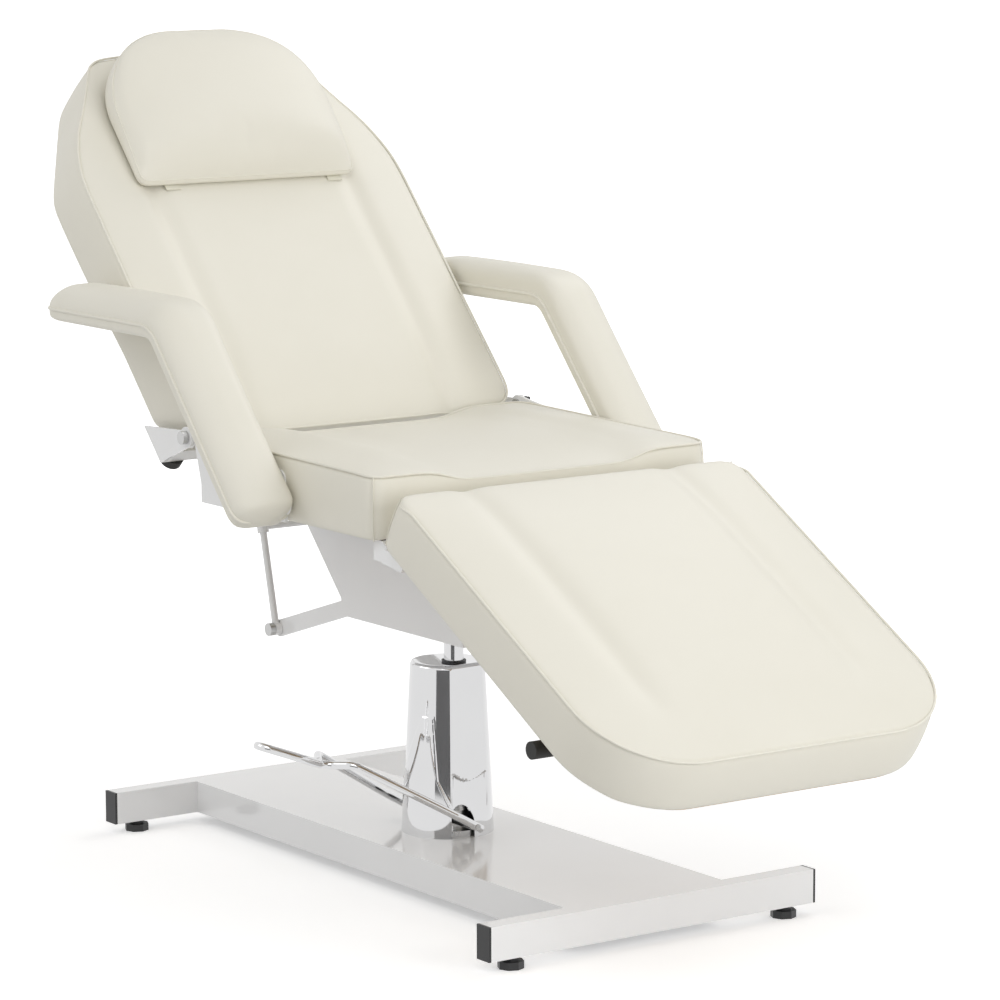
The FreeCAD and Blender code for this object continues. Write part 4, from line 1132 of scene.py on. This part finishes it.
@dataclass
class PumpCover:
    """The pressed chrome cover: a cone with a flat front, a scoop below it and a raised panel on its side."""

    y: float = -0.005
    foot_z: float = 0.0669
    height: float = 0.261
    foot_radius: float = 0.0694
    top_radius: float = 0.0564
    edge: float = 0.006
    flat_turn: float = 29.5
    ledge: float = 0.152
    scoop_end: float = 0.106
    arch_x: float = -0.017
    arch_half: float = 0.018
    arch_height: float = 0.050
    hole_y: float = -0.022
    hole_radius: float = 0.0158
    gauge: float = 0.0018
    crisp: float = 40.0
    rim_steps: int = 7
    lid_steps: int = 9
    lip_rise: float = 0.014
    lip_width: float = 0.0025
    scoop_side: float = 0.10
    scoop_depth: float = 0.008
    return_over: float = 0.004
    return_length: float = 0.018
    panel_heights: tuple[float, ...] = (0.067, 0.107, 0.155, 0.247)
    panel_first: tuple[float, ...] = (128.0, 136.0, 152.0, 195.0)
    panel_last: tuple[float, ...] = (250.0, 243.0, 223.0, 216.0)
    panel_top: float = 0.251
    panel_step: float = 0.0016
    panel_edge: Pair = (1.6, 0.002)
    panel_fade: Pair = (20.0, 10.0)
    columns: int = 300
    rows: int = 150

    def radius(self, angle: Array, z: Array) -> Array:
        """Distance of the wall from the axis.

        The cone's radius falls evenly with height. Within the flat's turn either side of the front the wall
        is the chord r cos(turn) / cos(a). Below the ledge the scoop goes in by a share that fades out
        downwards, and the wall returns to the cone. The side panel stands out between two lines.

        Args:
            angle: directions in degrees, from 0 to 360, the front being 270.
            z: heights.

        Returns:
            The distances, in the arrays' common shape.
        """
        cone = self.foot_radius + (self.top_radius - self.foot_radius) * (z - self.foot_z) / self.height
        off = np.clip(np.abs(angle - 270), 0, 80)
        turn = math.radians(self.flat_turn)
        chord = np.minimum(cone, cone * math.cos(turn) / np.cos(np.radians(off)))
        side = np.clip(off / self.flat_turn, 0, 1)
        lip = self.ledge + self.lip_rise * side ** 2
        inside = np.clip((lip - z) / self.lip_width, 0, 1) * np.clip((1 - side) / self.scoop_side, 0, 1)
        share = np.clip((z - self.scoop_end) / (self.ledge - self.scoop_end), 0, 1)
        back = np.clip((self.scoop_end + self.return_over - z) / self.return_length, 0, 1)
        scooped = chord - self.scoop_depth * inside * share * (1 - side ** 2) ** 0.5
        wall = scooped + (cone - scooped) * (3 * back ** 2 - 2 * back ** 3)
        first = np.interp(z, self.panel_heights, self.panel_first)
        last = np.interp(z, self.panel_heights, self.panel_last)
        turned, raised = self.panel_edge
        panel = np.clip(np.minimum(angle - first, last - angle) / turned, 0, 1)
        panel = panel * np.clip((self.panel_top - z) / raised, 0, 1)
        begin, width = self.panel_fade
        return wall + self.panel_step * panel * np.clip((off - begin) / width, 0, 1)

    def build(self, book: FinishBook) -> None:
        """Make the cover with its rounded rim, the hole for the piston and the arches for the pedal shaft.

        Args:
            book: the finishes.
        """
        angle = np.linspace(0, 360, self.columns, endpoint=False)[None, :]
        z = np.linspace(self.foot_z, self.foot_z + self.height - self.edge, self.rows)[:, None]
        far = self.radius(angle, z)
        a = np.radians(angle)

        def ring(reach: Array | float, y: float, height: Array | float) -> Array:
            """Points round an upright axis at y."""
            return np.stack(np.broadcast_arrays(reach * np.cos(a), y + reach * np.sin(a), height), -1)
        wall = ring(far, self.y, z)
        turns = np.radians(np.linspace(12, 90, self.rim_steps))[:, None]
        rim = list(ring(far[-1] - self.edge * (1 - np.cos(turns)), self.y, z[-1, 0] + self.edge * np.sin(turns)))
        hole = ring(self.hole_radius, self.hole_y, self.foot_z + self.height)[0]
        lid = [rim[-1] + (hole - rim[-1]) * t for t in np.linspace(0, 1, self.lid_steps)[1:]]
        points = np.concatenate([wall.reshape(-1, 3), *rim, *lid])
        quads = grid_quads(self.rows + len(rim) + len(lid), self.columns, wrap=True)
        points, quads = self.cut_arches(points, quads)
        cover = make_object("chrome_pump_cover", points, quads)
        shell = cover.modifiers.new("Wall", "SOLIDIFY")
        shell.thickness, shell.offset = self.gauge, -1.0
        settle(cover, shell)
        cover.data.set_sharp_from_angle(angle=math.radians(self.crisp))
        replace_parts(book.dress(cover, Finish.CHROME, "base"), "pump_cover")

    def cut_arches(self, points: Array, quads: Array) -> tuple[Array, Array]:
        """Take out the faces inside the two shaft arches and draw their rims to the arch line.

        Args:
            points: the cover's points.
            quads: its faces.

        Returns:
            The moved points and the faces left.
        """
        spring = self.foot_z + self.arch_height - self.arch_half
        dx, dz = points[:, 0] - self.arch_x, np.maximum(points[:, 2] - spring, 0)
        away = np.hypot(dx, dz)
        inside = (away < self.arch_half) & (points[:, 2] < self.ledge)
        keep = quads[~inside[quads].all(1)]
        edge = np.unique(keep[inside[keep]])
        grow = self.arch_half / np.maximum(away[edge], 1e-6)
        moved = points.copy()
        moved[edge, 0] = self.arch_x + dx[edge] * grow
        lifted = spring + dz[edge] * grow
        moved[edge, 2] = np.where(dz[edge] > 0, lifted, points[edge, 2])
        return moved, keep


# Studio


@dataclass
class Studio:
    """Pale floor, soft lamps, a bright surround and the photograph's camera."""

    eye: Place = (-3.6237, -5.2958, 1.5875)
    yaw: float = 35.1213
    pitch: float = 9.0091
    roll: float = -0.1594
    lens: float = 156.12
    soft_light: Pair = (0.46, 0.62)
    bounce: float = 0.78
    mirrored_floor: float = 1.0
    floor_half: float = 40.0
    floor_grey: float = 0.9
    glow_reach: Pair = (0.6, 3.0)
    glow: Pair = (0.36, 0.9)
    aim: Place = (0.0, 0.0, 0.6)
    lamps: tuple[tuple[Place, float, float, bool], ...] = (
        ((-2.4, -3.4, 4.2), 3.2, 48.0, True),
        ((1.2, -5.2, 1.6), 2.6, 88.0, False),
        ((1.9, 0.6, 2.7), 1.4, 11.0, True),
        ((-3.2, 1.6, 2.6), 2.4, 20.0, True),
    )
    dark_cards: tuple[Pair, ...] = ((203.0, 244.0),)
    card_reach: float = 1.1
    card_height: float = 0.35
    card_colour: Colour = (0.25, 0.25, 0.255)
    card_rough: float = 0.9

    def build(self) -> None:
        """Make the studio."""
        self.camera()
        self.floor()
        self.surround()
        for first, last in self.dark_cards:
            self.card(first, last)
        for place, size, power, mirrored in self.lamps:
            self.lamp(place, size, power, mirrored)
        bpy.context.scene.view_settings.view_transform = "Standard"

    def camera(self) -> None:
        """Place the camera from its eye point, yaw, pitch and roll."""
        yaw, pitch, roll = (math.radians(a) for a in (self.yaw, self.pitch, self.roll))
        ahead = Vector((math.sin(yaw) * math.cos(pitch), math.cos(yaw) * math.cos(pitch), -math.sin(pitch)))
        right = Vector((math.cos(yaw), -math.sin(yaw), 0.0))
        up = right.cross(ahead)
        turned_right = math.cos(roll) * right + math.sin(roll) * up
        turned_up = math.cos(roll) * up - math.sin(roll) * right
        data = bpy.data.cameras.new("Camera")
        data.lens, data.sensor_width = self.lens, 36.0
        data.clip_end = 100.0
        camera = bpy.data.objects.new("Camera", data)
        axes = Matrix((turned_right, turned_up, -ahead)).transposed().to_4x4()
        camera.matrix_world = Matrix.Translation(self.eye) @ axes
        bpy.context.scene.collection.objects.link(camera)
        bpy.context.scene.camera = camera

    def floor(self) -> None:
        """A wide pale floor: duller for bounced light, plain white for reflections.

        For the camera it adds a little of its own white, more of it far out, so that only the shadow shows.
        """
        corners = self.floor_half * np.array([[-1, -1, 0], [1, -1, 0], [1, 1, 0], [-1, 1, 0]])
        plane = make_object("studio_floor", corners, np.array([[0, 1, 2, 3]]), smooth=False)
        material, tool, _ = start_material("Studio floor")
        material.node_tree.nodes.clear()
        out = tool.add("ShaderNodeOutputMaterial")
        matt, dull = (tool.add("ShaderNodeBsdfDiffuse", Color=(grey, grey, grey, 1.0))
                      for grey in (self.floor_grey, self.bounce))
        place = tool.add("ShaderNodeTexCoord")
        away = tool.add("ShaderNodeVectorMath", operation="LENGTH")
        growth = tool.add("ShaderNodeMapRange", From_Min=self.glow_reach[0], From_Max=self.glow_reach[1],
                          To_Min=self.glow[0], To_Max=self.glow[1])
        glow = tool.add("ShaderNodeEmission", Color=WHITE)
        pale = tool.add("ShaderNodeEmission", Color=WHITE, Strength=self.mirrored_floor)
        add = tool.add("ShaderNodeAddShader")
        mirror, mix = (tool.add("ShaderNodeMixShader") for _ in range(2))
        path = tool.add("ShaderNodeLightPath")
        tool.wire((place, "Object", away, 0), (away, "Value", growth, "Value"), (growth, 0, glow, "Strength"),
                  (matt, 0, add, 0), (glow, 0, add, 1), (seen_rays(tool), 0, mirror, 0), (dull, 0, mirror, 1),
                  (pale, 0, mirror, 2), (path, "Is Camera Ray", mix, 0), (mirror, 0, mix, 1), (add, 0, mix, 2),
                  (mix, 0, out, 0))
        plane.data.materials.append(material)

    def card(self, first: float, last: float) -> None:
        """A low dark card on an arc round the chair, between two directions, that only reflections show.

        Args:
            first: the arc's first direction in degrees.
            last: the arc's last direction in degrees.
        """
        edge = arc_points((0.0, 0.0), self.card_reach, first, last)
        rows = [np.column_stack([edge, np.full(len(edge), z)]) for z in (0.0, self.card_height)]
        card = make_object("studio_card", np.vstack(rows), grid_quads(2, len(edge)))
        material, _, shader = start_material("Studio card")
        NodeTools.put(shader, Base_Color=(*self.card_colour, 1.0), Roughness=self.card_rough)
        card.data.materials.append(material)
        card.visible_camera = card.visible_diffuse = card.visible_shadow = False

    def surround(self) -> None:
        """A white surround for the camera and reflections, and a softer one, brighter overhead, as light."""
        world = bpy.data.worlds.new("Studio")
        bpy.context.scene.world = world
        world.use_nodes = True
        tool = NodeTools(world.node_tree)
        world.node_tree.nodes.clear()
        out = tool.add("ShaderNodeOutputWorld")
        white = tool.add("ShaderNodeBackground", Color=WHITE, Strength=1.0)
        soft = tool.add("ShaderNodeBackground", Color=WHITE)
        way = tool.add("ShaderNodeTexCoord")
        height = tool.add("ShaderNodeSeparateXYZ")
        level = tool.add("ShaderNodeMapRange", To_Min=self.soft_light[0], To_Max=self.soft_light[1])
        mix = tool.add("ShaderNodeMixShader")
        tool.wire((way, "Generated", height, 0), (height, "Z", level, "Value"), (level, 0, soft, "Strength"),
                  (seen_rays(tool), 0, mix, 0), (soft, 0, mix, 1), (white, 0, mix, 2), (mix, 0, out, 0))

    def lamp(self, place: Place, size: float, power: float, mirrored: bool) -> None:
        """A square soft lamp that faces the chair.

        Args:
            place: where it stands.
            size: its side.
            power: its power in watts.
            mirrored: whether it shows in reflections.
        """
        data = bpy.data.lights.new("Softbox", "AREA")
        data.size, data.energy = size, power
        lamp = bpy.data.objects.new("Softbox", data)
        lamp.location = place
        lamp.visible_glossy = mirrored
        lamp.rotation_mode = "QUATERNION"
        lamp.rotation_quaternion = (Vector(self.aim) - Vector(place)).to_track_quat("-Z", "Y")
        bpy.context.scene.collection.objects.link(lamp)


def seen_rays(tool: NodeTools) -> Node:
    """A node that gives one for camera, glossy and transmission rays, and nought for the rest.

    Args:
        tool: the tree's helper.

    Returns:
        The node.
    """
    path = tool.add("ShaderNodeLightPath")
    first, both = (tool.add("ShaderNodeMath", operation="MAXIMUM") for _ in range(2))
    tool.wire((path, "Is Camera Ray", first, 0), (path, "Is Glossy Ray", first, 1),
              (first, 0, both, 0), (path, "Is Transmission Ray", both, 1))
    return both


def main() -> None:
    """Build the chair's looks in order."""
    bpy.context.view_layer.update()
    book = FinishBook()
    Studio().build()
    Metalwork().build(book)
    PumpCover().build(book)
    Upholstery().build(book)
    bpy.context.view_layer.update()


if __name__ == "__main__":
    main()
